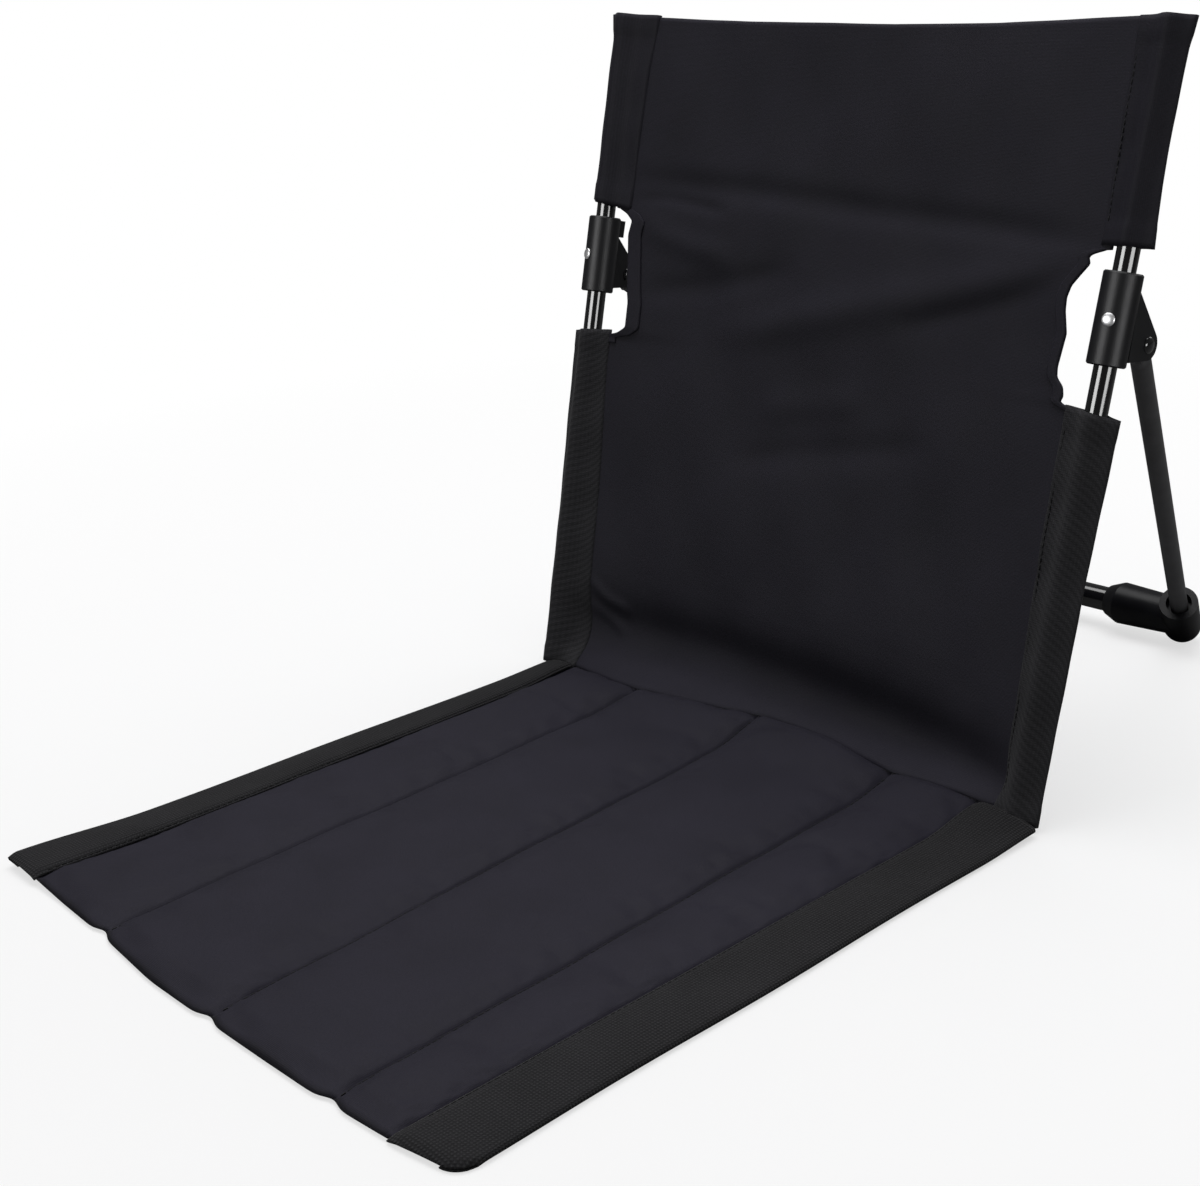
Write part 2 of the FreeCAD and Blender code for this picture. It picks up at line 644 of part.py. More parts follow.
def cross_tube(label):
    start = mirrored(elbow_point, -1) + X_AXIS * size("cross_end_gap")
    length = "2 * (dims.stand_half_width - dims.cross_end_gap)"
    outer = cylinder(label + "_outer", "dims.cross_diameter / 2", length)
    inner = cylinder(label + "_inner", "dims.cross_diameter / 2 - dims.tube_wall", length)
    pipe = cut(label + "_pipe", outer, inner)
    pipe.Placement = Placement(start, Rotation(Z_AXIS, X_AXIS))
    holes = [rivet_hole(label + "_%s_hole" % word, cross_rivet_place(side)) for word, side in SIDES]
    finished(cut(label + "_drilled", pipe, fuse(label + "_holes", holes)), label)


# Cloth back: flat pockets on the uprights and one panel between them
def lens(sketch, half_width, depth, width_words, depth_words):
    """Two low arcs that meet at two seams, one across each side of the upright."""
    radius = (half_width ** 2 + depth ** 2) / (2 * depth)
    radius_words = "((%s) ^ 2 + (%s) ^ 2) / (2 * (%s))" % (width_words, depth_words, depth_words)
    angle = math.atan2(radius - depth, half_width)
    drop = Vector(0, radius - depth, 0)
    rear = Part.ArcOfCircle(Part.Circle(-drop, Z_AXIS, radius), angle, math.pi - angle)
    front = Part.ArcOfCircle(Part.Circle(drop, Z_AXIS, radius), math.pi + angle, 2 * math.pi - angle)
    first = sketch.addGeometry(rear, False)
    second = sketch.addGeometry(front, False)
    sketch.addConstraint(Sketcher.Constraint("Coincident", first, 2, second, 1))
    sketch.addConstraint(Sketcher.Constraint("Coincident", second, 2, first, 1))
    fix_point(sketch, first, 1, width_words, "0")
    fix_point(sketch, first, 2, "-(%s)" % width_words, "0")
    bind(sketch, Sketcher.Constraint("Radius", first, radius), radius_words)
    bind(sketch, Sketcher.Constraint("Radius", second, radius), radius_words)


def pocket(label, side, start, length):
    """A sewn cloth pocket, open at its ends, that slips over an upright."""
    body = doc.addObject("PartDesign::Body", label)
    sketch = sketch_on(body, label + "_section", "XY_Plane")
    lens(sketch, size("pocket_width") / 2, size("pocket_depth"), "dims.pocket_width / 2", "dims.pocket_depth")
    lens(sketch, size("pocket_width") / 2 - size("pocket_seam"), size("pocket_depth") - size("cloth"),
         "dims.pocket_width / 2 - dims.pocket_seam", "dims.pocket_depth - dims.cloth")
    pad(body, sketch, label + "_pad", length)
    finished(body, label, on_upright(side, 0, size(start)))


# The panel seen from the side, from the slack hollow over the crease to the top: height up the back,
# distance behind the uprights' plane, belly of the span above, and climb from the middle to the right edge
PANEL_LINE = ((size("panel_bottom"), -6, 4, 0), (25, 17.5, 0.5, -8), (44, 11.3, -0.8, -8), (75, 6.6, -0.5, -3),
              (230, 4.5, -1.5, 0), (312, 6, 0.8, -5), (size("panel_top"), 1.5, 0, 0))
# Share of those distances at stations across half the panel
PANEL_STATIONS = ((1.0, 0.25), (0.85, 0.67), (0.5, 0.98), (0.0, 1.0))


def panel_half(up):
    """Half the panel's width at a height up the back."""
    upright = tube_x + (up - size("pivot_height")) * toe_slope
    return upright - size("pocket_width") / 2 - size("running_gap")


def panel_section(place, depth_share):
    """A thin closed outline across the panel's thickness, at a share of its half width."""
    knots = []
    for middle_up, rear, _, climb in PANEL_LINE:
        up = middle_up + climb * place
        knots.append(Vector(place * panel_half(up), rear * depth_share, up))
    bulges = [Y_AXIS * (belly * depth_share) for _, _, belly, _ in PANEL_LINE]
    rear_side = Vector(0, size("cloth") / 2, 0)
    runs = []
    for offset in (rear_side, -rear_side):
        run = [arc_between(low + offset, high + offset, bulge)
               for low, high, bulge in zip(knots, knots[1:], bulges)]
        runs.append(run)
    hem = Part.LineSegment(knots[-1] + rear_side, knots[-1] - rear_side).toShape()
    foot = Part.LineSegment(knots[0] - rear_side, knots[0] + rear_side).toShape()
    return Part.Wire(runs[0] + [hem] + runs[1][::-1] + [foot])


def back_panel(label):
    half = panel_half((size("upper_pocket_start") + size("lower_pocket_end")) / 2)
    stations = [(-place, share) for place, share in PANEL_STATIONS]
    stations += list(PANEL_STATIONS[-2::-1])
    sections = [panel_section(place, share) for place, share in stations]
    sheet_shape = Part.makeLoft(sections, True, True)
    cloth = doc.addObject("Part::Feature", label + "_cloth")
    cloth.Shape = sheet_shape
    windows = []
    for word, side in SIDES:
        window = doc.addObject("Part::Box", "%s_%s_window" % (label, word))
        window.setExpression("Length", "2 * dims.window_depth")
        window.setExpression("Width", "4 * dims.pocket_depth")
        window.setExpression("Height", "dims.upper_pocket_start - dims.lower_pocket_end")
        inside = side * half - size("window_depth")
        corner = Vector(inside, -2 * size("pocket_depth"), size("lower_pocket_end"))
        window.Placement = Placement(corner, Rotation())
        windows.append(window)
    finished(cut(label + "_cut", cloth, fuse(label + "_windows", windows)), label, back_frame)


# Seat pieces
def seat_base(label):
    item = doc.addObject("Part::Feature", label)
    item.Shape = seat_plan(0, size("cloth"))
    finished(item, label, seat_frame)


def seat_top(label):
    """The quilted top cloth, sewn down to the ground cloth along the channel seams."""
    sections = []
    base = size("cloth") + size("layer_gap")
    for share, crown_share in SEAT_STATIONS:
        lines = seat_lines(share)
        crowns = seat_crowns(crown_share)
        y = seat_y(share)
        runs = []
        for rise in (base, base + size("cloth")):
            run = []
            for left, right, crown in zip(lines, lines[1:], crowns):
                run.append(arc_between(Vector(left, y, rise), Vector(right, y, rise), Z_AXIS * crown))
            runs.append(run)
        right_side = Part.LineSegment(Vector(lines[-1], y, base), Vector(lines[-1], y, base + size("cloth")))
        left_side = Part.LineSegment(Vector(lines[0], y, base + size("cloth")), Vector(lines[0], y, base))
        sections.append(Part.Wire(runs[0] + [right_side.toShape()] + runs[1][::-1] + [left_side.toShape()]))
    quilt = doc.addObject("Part::Feature", label + "_quilt")
    quilt.Shape = Part.makeLoft(sections, True, True)
    plan = doc.addObject("Part::Feature", label + "_plan")
    plan.Shape = seat_plan(0, 4 * size("seat_wide_crown"))
    trimmed = doc.addObject("Part::Common", label + "_trimmed")
    trimmed.Base = quilt
    trimmed.Tool = plan
    finished(trimmed, label, seat_frame)


def seat_foam(label, channel):
    """One foam strip, flat below and crowned above, lying in its channel."""
    gap = size("foam_gap")
    base = size("cloth") + size("layer_gap")
    sections = []
    for share, crown_share in SEAT_STATIONS[1:-1]:
        lines = seat_lines(share)
        left = Vector(lines[channel] + gap, seat_y(share), base)
        right = Vector(lines[channel + 1] - gap, seat_y(share), base)
        crown = seat_crowns(crown_share)[channel] - size("cloth")
        sections.append(Part.Wire([arc_between(left, right, Z_AXIS * crown),
                                   Part.LineSegment(right, left).toShape()]))
    item = doc.addObject("Part::Feature", label)
    item.Shape = Part.makeLoft(sections, True, True)
    finished(item, label, seat_frame)


def seat_hem(label, side):
    """The folded edge band beside the outer channel, from the crease to the front corner."""
    low = size("cloth") + size("layer_gap")
    corners = []
    for share in (0.0, 1.0):
        front = size("seat_corner_setback") + size("seat_scallop") if share else 0
        outside = seat_half_width(share)
        for edge in (outside - size("seat_hem_width") + size("layer_gap"), outside):
            corners.append(Vector(side * edge, seat_y(share) + front, low))
    order = [corners[0], corners[1], corners[3], corners[2], corners[0]]
    item = doc.addObject("Part::Feature", label)
    item.Shape = Part.Face(Part.makePolygon(order)).extrude(Z_AXIS * 2 * size("cloth"))
    finished(item, label, seat_frame)


for word, side in SIDES:
    upright_tube(word + "_upright_tube", side)
    upright_plug(word + "_top_plug", side, 1, size("back_length") - size("upright_end"), "dims.plug_crown")
    upright_plug(word + "_foot_plug", side, -1, size("upright_end"), "dims.upright_diameter / 2")
    hinge_sleeve(word + "_hinge_sleeve", side)
    rivet(word + "_sleeve_rivet", sleeve_rivet_place(side))
    pivot_pin(word + "_pivot_pin", side)
    pocket(word + "_upper_pocket", side, "upper_pocket_start",
           "dims.back_length - dims.upper_pocket_start")
    pocket(word + "_lower_pocket", side, "lower_pocket_start",
           "dims.lower_pocket_end - dims.lower_pocket_start")
    leg_tube(word + "_leg_tube", side)
    elbow(word + "_elbow", side)
    rivet(word + "_cross_rivet", cross_rivet_place(side))
    rivet(word + "_leg_rivet", leg_rivet_place(side))
    seat_hem(word + "_seat_hem", side)
back_panel("back_panel")
cross_tube("cross_tube")
seat_base("seat_ground_cloth")
seat_top("seat_top_cloth")
for channel in range(4):
    seat_foam("seat_foam_%d" % (channel + 1), channel)

doc.recompute()
faults = [item.Name for item in doc.Objects if "Invalid" in item.State or "Error" in item.State]
for item in sub_parts:
    if item.Shape.isNull() or not item.Shape.isValid():
        faults.append(item.Label)
if faults:
    raise RuntimeError("not built: " + ", ".join(faults))

os.makedirs("parts", exist_ok=True)
for item in sub_parts:
    item.Shape.exportStep("parts/%s.step" % item.Label)
box = FreeCAD.BoundBox()
for item in sub_parts:
    box.add(item.Shape.optimalBoundingBox())
print("pieces %d, size %.1f x %.1f x %.1f mm" % (len(sub_parts), box.XLength, box.YLength, box.ZLength))
print("lowest %.3f, front %.2f, rear %.2f" % (box.ZMin, box.YMin, box.YMax))
print("crease y %.3f, pivot y %.3f z %.3f" % (crease_y, pivot_point.y, pivot_point.z))
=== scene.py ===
import math

import bpy
import numpy as np
from mathutils import Matrix, Vector


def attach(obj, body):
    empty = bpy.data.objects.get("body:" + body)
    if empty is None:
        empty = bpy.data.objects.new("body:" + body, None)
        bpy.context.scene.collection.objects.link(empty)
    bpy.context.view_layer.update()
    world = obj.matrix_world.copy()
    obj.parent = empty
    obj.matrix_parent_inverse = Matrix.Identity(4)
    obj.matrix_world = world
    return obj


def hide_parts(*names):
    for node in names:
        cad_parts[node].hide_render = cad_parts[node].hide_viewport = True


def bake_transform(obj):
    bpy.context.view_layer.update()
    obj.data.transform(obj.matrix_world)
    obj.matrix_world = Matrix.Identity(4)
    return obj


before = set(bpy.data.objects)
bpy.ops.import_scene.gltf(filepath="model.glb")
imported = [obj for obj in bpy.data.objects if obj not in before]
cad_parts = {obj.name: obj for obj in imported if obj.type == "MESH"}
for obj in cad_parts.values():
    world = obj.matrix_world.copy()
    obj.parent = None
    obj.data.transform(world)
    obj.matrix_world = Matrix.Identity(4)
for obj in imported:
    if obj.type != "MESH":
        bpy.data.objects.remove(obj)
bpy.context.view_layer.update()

# Main places in metres: the crease between seat and back, the uprights and the seat's outline
CREASE_Y = 0.052155
RECLINE = math.radians(15.6)
TOE_SLOPE = math.tan(math.radians(1.45))
PIVOT_UP = 0.259
UPRIGHT_X = 0.190425
UPRIGHT_RADIUS = 0.006
BACK_LENGTH = 0.420
UPPER_POCKET_START = 0.306
LOWER_POCKET_START = 0.0024
LOWER_POCKET_END = 0.2195
POCKET_HALF = 0.0135
SEAT_LENGTH = 0.397
BAND_LENGTH = 0.385
CLOTH = 0.0008
# Corners of lines are rounded by a mean of this many samples, weighted less towards the ends
ROUNDING_SAMPLES = 9
ROUNDING_TAPER = 0.9


def smoothstep(low, high, value):
    """Smooth change from 0 at low to 1 at high, whichever of the two is larger."""
    share = np.clip((value - low) / (high - low), 0, 1)
    return share * share * (3 - 2 * share)


def follow(points, value):
    """Value of a line through a few (place, height) points."""
    places, heights = zip(*points)
    return np.interp(value, places, heights)


def soft_follow(points, value, reach):
    """The same line with its corners rounded over the reach."""
    offsets = np.linspace(-1, 1, ROUNDING_SAMPLES)
    weights = 1 - np.abs(offsets) * ROUNDING_TAPER
    total = sum(w * follow(points, value + reach * o) for o, w in zip(offsets, weights))
    return total / weights.sum()


def on_back(x, up, rear):
    """A point of the back: across, up along the uprights and rearwards from their plane."""
    y = CREASE_Y + up * math.sin(RECLINE) + rear * math.cos(RECLINE)
    z = up * math.cos(RECLINE) - rear * math.sin(RECLINE)
    return np.stack([x + 0 * y, y, z], axis=-1)


def upright_x(up):
    """Distance across of an upright's axis at heights up the back."""
    return UPRIGHT_X + (up - PIVOT_UP) * TOE_SLOPE


def grid_faces(rows, columns, wrap=False):
    faces = []
    spans = columns if wrap else columns - 1
    for row in range(rows - 1):
        for column in range(spans):
            after = (column + 1) % columns
            faces.append((row * columns + column, row * columns + after,
                          (row + 1) * columns + after, (row + 1) * columns + column))
    return faces


def mesh_object(name, points, faces, uvs=None):
    """A smooth mesh; uvs holds a pair in metres for each point."""
    mesh = bpy.data.meshes.new(name)
    mesh.from_pydata([tuple(p) for p in np.asarray(points, float).reshape(-1, 3)], [], faces)
    mesh.update()
    if uvs is not None:
        layer = mesh.uv_layers.new(name="cloth")
        flat = np.asarray(uvs, float).reshape(-1, 2)
        corners = np.zeros(len(mesh.loops), int)
        mesh.loops.foreach_get("vertex_index", corners)
        layer.data.foreach_set("uv", flat[corners].ravel())
    mesh.polygons.foreach_set("use_smooth", [True] * len(mesh.polygons))
    item = bpy.data.objects.new(name, mesh)
    bpy.context.scene.collection.objects.link(item)
    return item


def apply_modifiers(item):
    bpy.context.view_layer.update()
    graph = bpy.context.evaluated_depsgraph_get()
    finished = bpy.data.meshes.new_from_object(item.evaluated_get(graph))
    item.modifiers.clear()
    item.data = finished
    return item


def thicken(item, thickness, offset=0.0):
    shell = item.modifiers.new("thickness", "SOLIDIFY")
    shell.thickness = thickness
    shell.offset = offset
    shell.use_even_offset = False
    return apply_modifiers(item)


def grid_object(name, points, uvs, thickness):
    """A sheet of cloth through a grid of points."""
    rows, columns = points.shape[:2]
    item = mesh_object(name, points, grid_faces(rows, columns), uvs)
    return thicken(item, thickness)


# Materials: every one is built from procedural patterns
PATCH_DETAIL = 4.0
GRAIN_DETAIL = 2.0
# A wave pattern of scale 1 turns by this many radians in a metre
WAVE_RADIANS = 20
# Cloth: patches and grain per metre, how far the threads wander, its tones and how it takes light
CLOTH_PATCHES = 26.0
CLOTH_GRAIN = 900.0
THREAD_WANDER = 0.6
RIB_WANDER = 0.25
TONE_SCALE = 0.36
DARK_TONE = 0.25
LIGHT_TONE = 0.75
CLOTH_WEAR = 0.08
CLOTH_GLOSS = 0.16
SHEEN_ROUGHNESS = 0.45
# Hard surfaces: worn patches are lighter, and the grain is finer than the patches
FRESH_PATCH = 0.3
WORN_PATCH = 0.8
WORN_GAIN = 1.35
WORN_LIFT = 0.004
GRAIN_RATIO = 14
GRAIN_HEIGHT = 0.0003
COAT_ROUGHNESS = 0.06


def start_material(name):
    material = bpy.data.materials.new(name)
    material.use_nodes = True
    nodes = material.node_tree.nodes
    return material, nodes, material.node_tree.links, nodes["Principled BSDF"]


def noise(nodes, links, coordinates, scale, detail):
    item = nodes.new("ShaderNodeTexNoise")
    item.inputs["Scale"].default_value = scale
    item.inputs["Detail"].default_value = detail
    links.new(coordinates, item.inputs["Vector"])
    return item.outputs["Fac"]


def wave(nodes, links, coordinates, direction, pitch, wander):
    item = nodes.new("ShaderNodeTexWave")
    item.bands_direction = direction
    item.inputs["Scale"].default_value = 2 * math.pi / WAVE_RADIANS / pitch
    item.inputs["Distortion"].default_value = wander
    item.inputs["Detail"].default_value = 1.0
    links.new(coordinates, item.inputs["Vector"])
    return item.outputs["Fac"]


def math_node(nodes, links, operation, first, second):
    item = nodes.new("ShaderNodeMath")
    item.operation = operation
    for socket, value in zip(item.inputs, (first, second)):
        if isinstance(value, float):
            socket.default_value = value
        else:
            links.new(value, socket)
    return item.outputs[0]


def ramp(nodes, links, factor, low_stop, high_stop):
    """Colours between two stops, each a place and a colour."""
    item = nodes.new("ShaderNodeValToRGB")
    for element, (place, colour) in zip(item.color_ramp.elements, (low_stop, high_stop)):
        element.position = place
        element.color = (*colour, 1)
    links.new(factor, item.inputs["Fac"])
    return item.outputs["Color"]


def bump(nodes, links, height, strength, distance, below=None):
    item = nodes.new("ShaderNodeBump")
    item.inputs["Strength"].default_value = strength
    item.inputs["Distance"].default_value = distance
    links.new(height, item.inputs["Height"])
    if below is not None:
        links.new(below, item.inputs["Normal"])
    return item.outputs["Normal"]


def spread(nodes, links, factor, low, high):
    item = nodes.new("ShaderNodeMapRange")
    item.inputs["To Min"].default_value = low
    item.inputs["To Max"].default_value = high
    links.new(factor, item.inputs["Value"])
    return item.outputs["Result"]


def mix_shaders(nodes, links, factor, first, second):
    item = nodes.new("ShaderNodeMixShader")
    links.new(factor, item.inputs["Fac"])
    links.new(first, item.inputs[1])
    links.new(second, item.inputs[2])
    return item.outputs["Shader"]


def woven(name, dark, light, pitch, rough, sheen, weave_depth, rib_pitch=None):
    """Cloth with crossing threads, uneven colour and, where it is twilled, a diagonal rib."""
    material, nodes, links, shader = start_material(name)
    coordinates = nodes.new("ShaderNodeTexCoord").outputs["UV"]
    warp = wave(nodes, links, coordinates, "X", pitch, THREAD_WANDER)
    weft = wave(nodes, links, coordinates, "Y", pitch, THREAD_WANDER)
    threads = math_node(nodes, links, "MULTIPLY", warp, weft)
    if rib_pitch:
        rib = wave(nodes, links, coordinates, "DIAGONAL", rib_pitch, RIB_WANDER)
        threads = math_node(nodes, links, "ADD", threads, rib)
        threads = math_node(nodes, links, "MULTIPLY", threads, 0.5)
    patches = noise(nodes, links, coordinates, CLOTH_PATCHES, PATCH_DETAIL)
    grain = noise(nodes, links, coordinates, CLOTH_GRAIN, GRAIN_DETAIL)
    tone = math_node(nodes, links, "ADD", patches, grain)
    tone = math_node(nodes, links, "ADD", tone, threads)
    tone = math_node(nodes, links, "MULTIPLY", tone, TONE_SCALE)
    colour = ramp(nodes, links, tone, (DARK_TONE, dark), (LIGHT_TONE, light))
    links.new(colour, shader.inputs["Base Color"])
    roughness = spread(nodes, links, patches, rough - CLOTH_WEAR, rough + CLOTH_WEAR)
    links.new(roughness, shader.inputs["Roughness"])
    shader.inputs["Sheen Weight"].default_value = sheen
    shader.inputs["Sheen Roughness"].default_value = SHEEN_ROUGHNESS
    shader.inputs["Specular IOR Level"].default_value = CLOTH_GLOSS
    slack = bump(nodes, links, patches, strength=0.25, distance=0.002)
    grit = bump(nodes, links, grain, strength=0.35, distance=0.0004, below=slack)
    weave = bump(nodes, links, threads, weave_depth, distance=pitch * 0.5, below=grit)
    links.new(weave, shader.inputs["Normal"])
    return material


def hard(name, colour, rough, wear_scale, wear, metallic=0.0, coat=0.0, grain_depth=0.15, gloss=0.5):
    """Painted metal, moulded plastic or bare metal with uneven gloss and fine grain."""
    material, nodes, links, shader = start_material(name)
    coordinates = nodes.new("ShaderNodeTexCoord").outputs["Object"]
    patches = noise(nodes, links, coordinates, wear_scale, PATCH_DETAIL)
    grain = noise(nodes, links, coordinates, wear_scale * GRAIN_RATIO, GRAIN_DETAIL)
    worn = tuple(min(1.0, channel * WORN_GAIN + WORN_LIFT) for channel in colour)
    shade = ramp(nodes, links, patches, (FRESH_PATCH, colour), (WORN_PATCH, worn))
    links.new(shade, shader.inputs["Base Color"])
    roughness = spread(nodes, links, patches, rough - wear, rough + wear)
    links.new(roughness, shader.inputs["Roughness"])
    shader.inputs["Metallic"].default_value = metallic
    shader.inputs["Specular IOR Level"].default_value = gloss
    shader.inputs["Coat Weight"].default_value = coat
    shader.inputs["Coat Roughness"].default_value = COAT_ROUGHNESS
    links.new(bump(nodes, links, grain, grain_depth, GRAIN_HEIGHT), shader.inputs["Normal"])
    return material


# The back, the seat and the upper pockets are of one smooth cloth; the upper pockets' darker tones are
# painted shade
PANEL_WEAVE = {"pitch": 0.0007, "rough": 0.66, "sheen": 0.02, "weave_depth": 0.25}
PANEL_TONES = ((0.0160, 0.0147, 0.0232), (0.0290, 0.0267, 0.0416))
# Share of the panel's tones kept in the upper pockets: their darkening is painted shade
POCKET_PAINTED_SHADE = 0.80
POCKET_PAINTED_SHADE_TONES = tuple(tuple(POCKET_PAINTED_SHADE * channel for channel in tone) for tone in PANEL_TONES)
seat_cloth = woven("seat_cloth", *PANEL_TONES, **PANEL_WEAVE)
back_cloth_look = woven("back_cloth_look", *PANEL_TONES, **PANEL_WEAVE)
band_cloth = woven("band_cloth", (0.0160, 0.0157, 0.0178), (0.0465, 0.0457, 0.0508),
                   pitch=0.0012, rough=0.82, sheen=0.05, weave_depth=0.35, rib_pitch=0.0022)
upper_pocket_painted_shade_look = woven("upper_pocket_painted_shade_look", *POCKET_PAINTED_SHADE_TONES, **PANEL_WEAVE)
seat_band_look = woven("seat_band_look", (0.0075, 0.0073, 0.0084), (0.0290, 0.0284, 0.0316),
                       pitch=0.0017, rough=0.82, sheen=0.08, weave_depth=0.7)
thread_look = woven("thread_look", (0.006, 0.006, 0.0066), (0.018, 0.018, 0.020),
                    pitch=0.0006, rough=0.7, sheen=0.1, weave_depth=0.5)
gloss_tube = hard("gloss_tube", (0.004, 0.004, 0.005), rough=0.12, wear_scale=60.0, wear=0.04,
                  coat=0.8, grain_depth=0.04)
matte_tube = hard("matte_tube", (0.105, 0.105, 0.110), rough=0.46, wear_scale=90.0, wear=0.06,
                  gloss=0.40)
moulded_plastic = hard("moulded_plastic", (0.0055, 0.0055, 0.0070), rough=0.34, wear_scale=70.0,
                       wear=0.05, gloss=0.2)
sleeve_plastic = hard("sleeve_plastic", (0.0085, 0.0087, 0.0110), rough=0.42, wear_scale=70.0,
                      wear=0.05, gloss=0.36)
bright_rivet = hard("bright_rivet", (0.86, 0.86, 0.87), rough=0.42, wear_scale=120.0, wear=0.06,
                    metallic=1.0)

HARDWARE = (("upright_tube", gloss_tube), ("top_plug", moulded_plastic), ("foot_plug", moulded_plastic),
            ("hinge_sleeve", sleeve_plastic), ("sleeve_rivet", bright_rivet), ("pivot_pin", gloss_tube),
            ("leg_tube", matte_tube), ("elbow", moulded_plastic), ("cross_rivet", bright_rivet),
            ("leg_rivet", bright_rivet))


def dress(node, material):
    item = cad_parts[node]
    item.data.materials.clear()
    item.data.materials.append(material)


for word in ("left", "right"):
    for kind, material in HARDWARE:
        dress("%s_%s" % (word, kind), material)
dress("cross_tube", gloss_tube)


# Cloth back: its side edges run along the pocket seams and round the hinge windows
SEAM_LAP = 0.003
# Edge of the window on each side: height up the back and distance across
WINDOW_EDGES = {
    1: ((0.2190, 0.1790), (0.2222, 0.1700), (0.2240, 0.1652), (0.2268, 0.1668), (0.2318, 0.1656),
        (0.2364, 0.1611), (0.2416, 0.1604), (0.2504, 0.1614), (0.2592, 0.1624), (0.2709, 0.1594),
        (0.2777, 0.1589), (0.2840, 0.1606), (0.2900, 0.1650), (0.2960, 0.1696), (0.2990, 0.1680),
        (0.3010, 0.1700), (0.3040, 0.1790)),
    -1: ((0.2190, 0.1790), (0.2215, 0.1670), (0.2260, 0.1600), (0.2420, 0.1605), (0.2490, 0.1624),
         (0.2660, 0.1650), (0.2840, 0.1680), (0.2930, 0.1662), (0.2975, 0.1720), (0.3000, 0.1790)),
}
WINDOW_ROUNDING = 0.0014
# Top hem and crease seam: distance across and height up the back
TOP_EDGE = ((-0.175, 0.4190), (-0.090, 0.4165), (0.020, 0.4152), (0.090, 0.4162), (0.175, 0.4198))
CREASE_SEAM = ((-0.175, 0.0040), (-0.120, 0.0030), (-0.060, 0.0060), (0.000, 0.0110), (0.050, 0.0100),
               (0.100, 0.0060), (0.150, 0.0070), (0.175, 0.0060))
# Side view of the panel's middle: height up the back and distance behind the uprights' plane
HANG = ((0.000, -0.0100), (0.006, -0.0030), (0.009, 0.0005), (0.011, 0.0036), (0.014, 0.0084),
        (0.018, 0.0126), (0.023, 0.0158), (0.028, 0.0174), (0.033, 0.0179), (0.038, 0.0174),
        (0.043, 0.0157), (0.048, 0.0130), (0.053, 0.0105), (0.059, 0.0085), (0.067, 0.0071),
        (0.079, 0.0062), (0.100, 0.0056), (0.160, 0.0048), (0.230, 0.0042), (0.310, 0.0030),
        (0.430, 0.0015))
HANG_ROUNDING = 0.004
# The hollow lies lower towards the sides, and more so on the right
HANG_TILT = 0.0065
HANG_DROP = 0.0085
# That lowering grows from nothing at the first height of each pair to full at the second
DROP_FROM_CREASE = (0.008, 0.030)
DROP_FROM_ABOVE = (0.12, 0.05)
# Share of the hang that the side edges keep; higher powers keep the change closer to the edges
EDGE_HANG = 0.25
HANG_POWER = 5
FOLD_POWER = 8
# Folds as lines across and up the back, with their depth rearwards and half width
FOLDS = (
    (((-0.174, 0.318), (-0.065, 0.3175), (0.026, 0.3125), (0.110, 0.310), (0.157, 0.3076)),
     0.0023, 0.008),
    (((-0.165, 0.307), (-0.138, 0.3086), (-0.093, 0.305)), 0.0016, 0.004),
    (((-0.070, 0.234), (-0.021, 0.246), (0.061, 0.268), (0.118, 0.283), (0.160, 0.294)),
     -0.0029, 0.012),
    (((0.060, 0.252), (0.111, 0.268), (0.156, 0.284)), 0.0017, 0.007),
    (((-0.148, 0.250), (-0.088, 0.260), (-0.040, 0.272)), 0.0018, 0.008),
    (((-0.156, 0.290), (-0.113, 0.281), (-0.085, 0.278)), -0.0018, 0.008),
    (((-0.050, 0.160), (0.010, 0.172), (0.075, 0.184)), 0.0014, 0.009),
    (((-0.036, 0.193), (0.032, 0.205)), -0.0014, 0.010),
    (((-0.164, 0.062), (-0.150, 0.052), (-0.132, 0.047)), -0.0022, 0.004),
    (((-0.166, 0.046), (-0.150, 0.040), (-0.135, 0.032)), -0.0018, 0.004),
)
# Share of a fold's length over which each end fades
FOLD_FADE = 0.18
# Slow waves of the cloth: length, height, direction and phase
RIPPLES = ((0.140, 0.00070, 1.1, 0.4), (0.090, 0.00050, 2.0, 1.9), (0.055, 0.00025, 0.5, 4.0),
           (0.037, 0.00014, 2.6, 2.7))
# A point's height and distance across depend on each other, so they are found in a few rounds
PANEL_ROUNDS = 3
PANEL_ROWS = 171
PANEL_COLUMNS = 141


def panel_edge(side, up):
    """Distance across of the panel's edge at heights up the back."""
    seam = upright_x(up) - POCKET_HALF + SEAM_LAP
    window = soft_follow(WINDOW_EDGES[side], up, WINDOW_ROUNDING)
    inside = (up > WINDOW_EDGES[side][0][0]) & (up < WINDOW_EDGES[side][-1][0])
    return np.where(inside, np.minimum(seam, window), seam)


def fold_depth(x, up):
    """Depth of the folds behind the hanging panel."""
    total = np.zeros_like(x)
    for line, depth, width in FOLDS:
        first = line[0][0]
        last = line[-1][0]
        fade = FOLD_FADE * (last - first)
        along = smoothstep(first - fade, first + fade, x)
        along = along * (1 - smoothstep(last - fade, last + fade, x))
        total = total + depth * along * np.exp(-((up - follow(line, x)) / width) ** 2)
    return total


def ripples(x, up):
    """Slow uneven waves of hanging cloth."""
    waves = np.zeros_like(x)
    for length, height, angle, phase in RIPPLES:
        across = x * math.cos(angle) + up * math.sin(angle)
        waves = waves + height * np.sin(2 * math.pi * across / length + phase)
    return waves


def back_rear(x, up, share):
    """Distance of the panel behind the uprights' plane; share runs from -1 to 1 across it."""
    free = 1 - np.abs(share) ** HANG_POWER
    drop = HANG_TILT * share + HANG_DROP * share ** 2
    drop = drop * smoothstep(*DROP_FROM_CREASE, up) * smoothstep(*DROP_FROM_ABOVE, up)
    rear = soft_follow(HANG, up + drop, HANG_ROUNDING) * (EDGE_HANG + (1 - EDGE_HANG) * free)
    return rear + (fold_depth(x, up) + ripples(x, up)) * (1 - share ** FOLD_POWER)


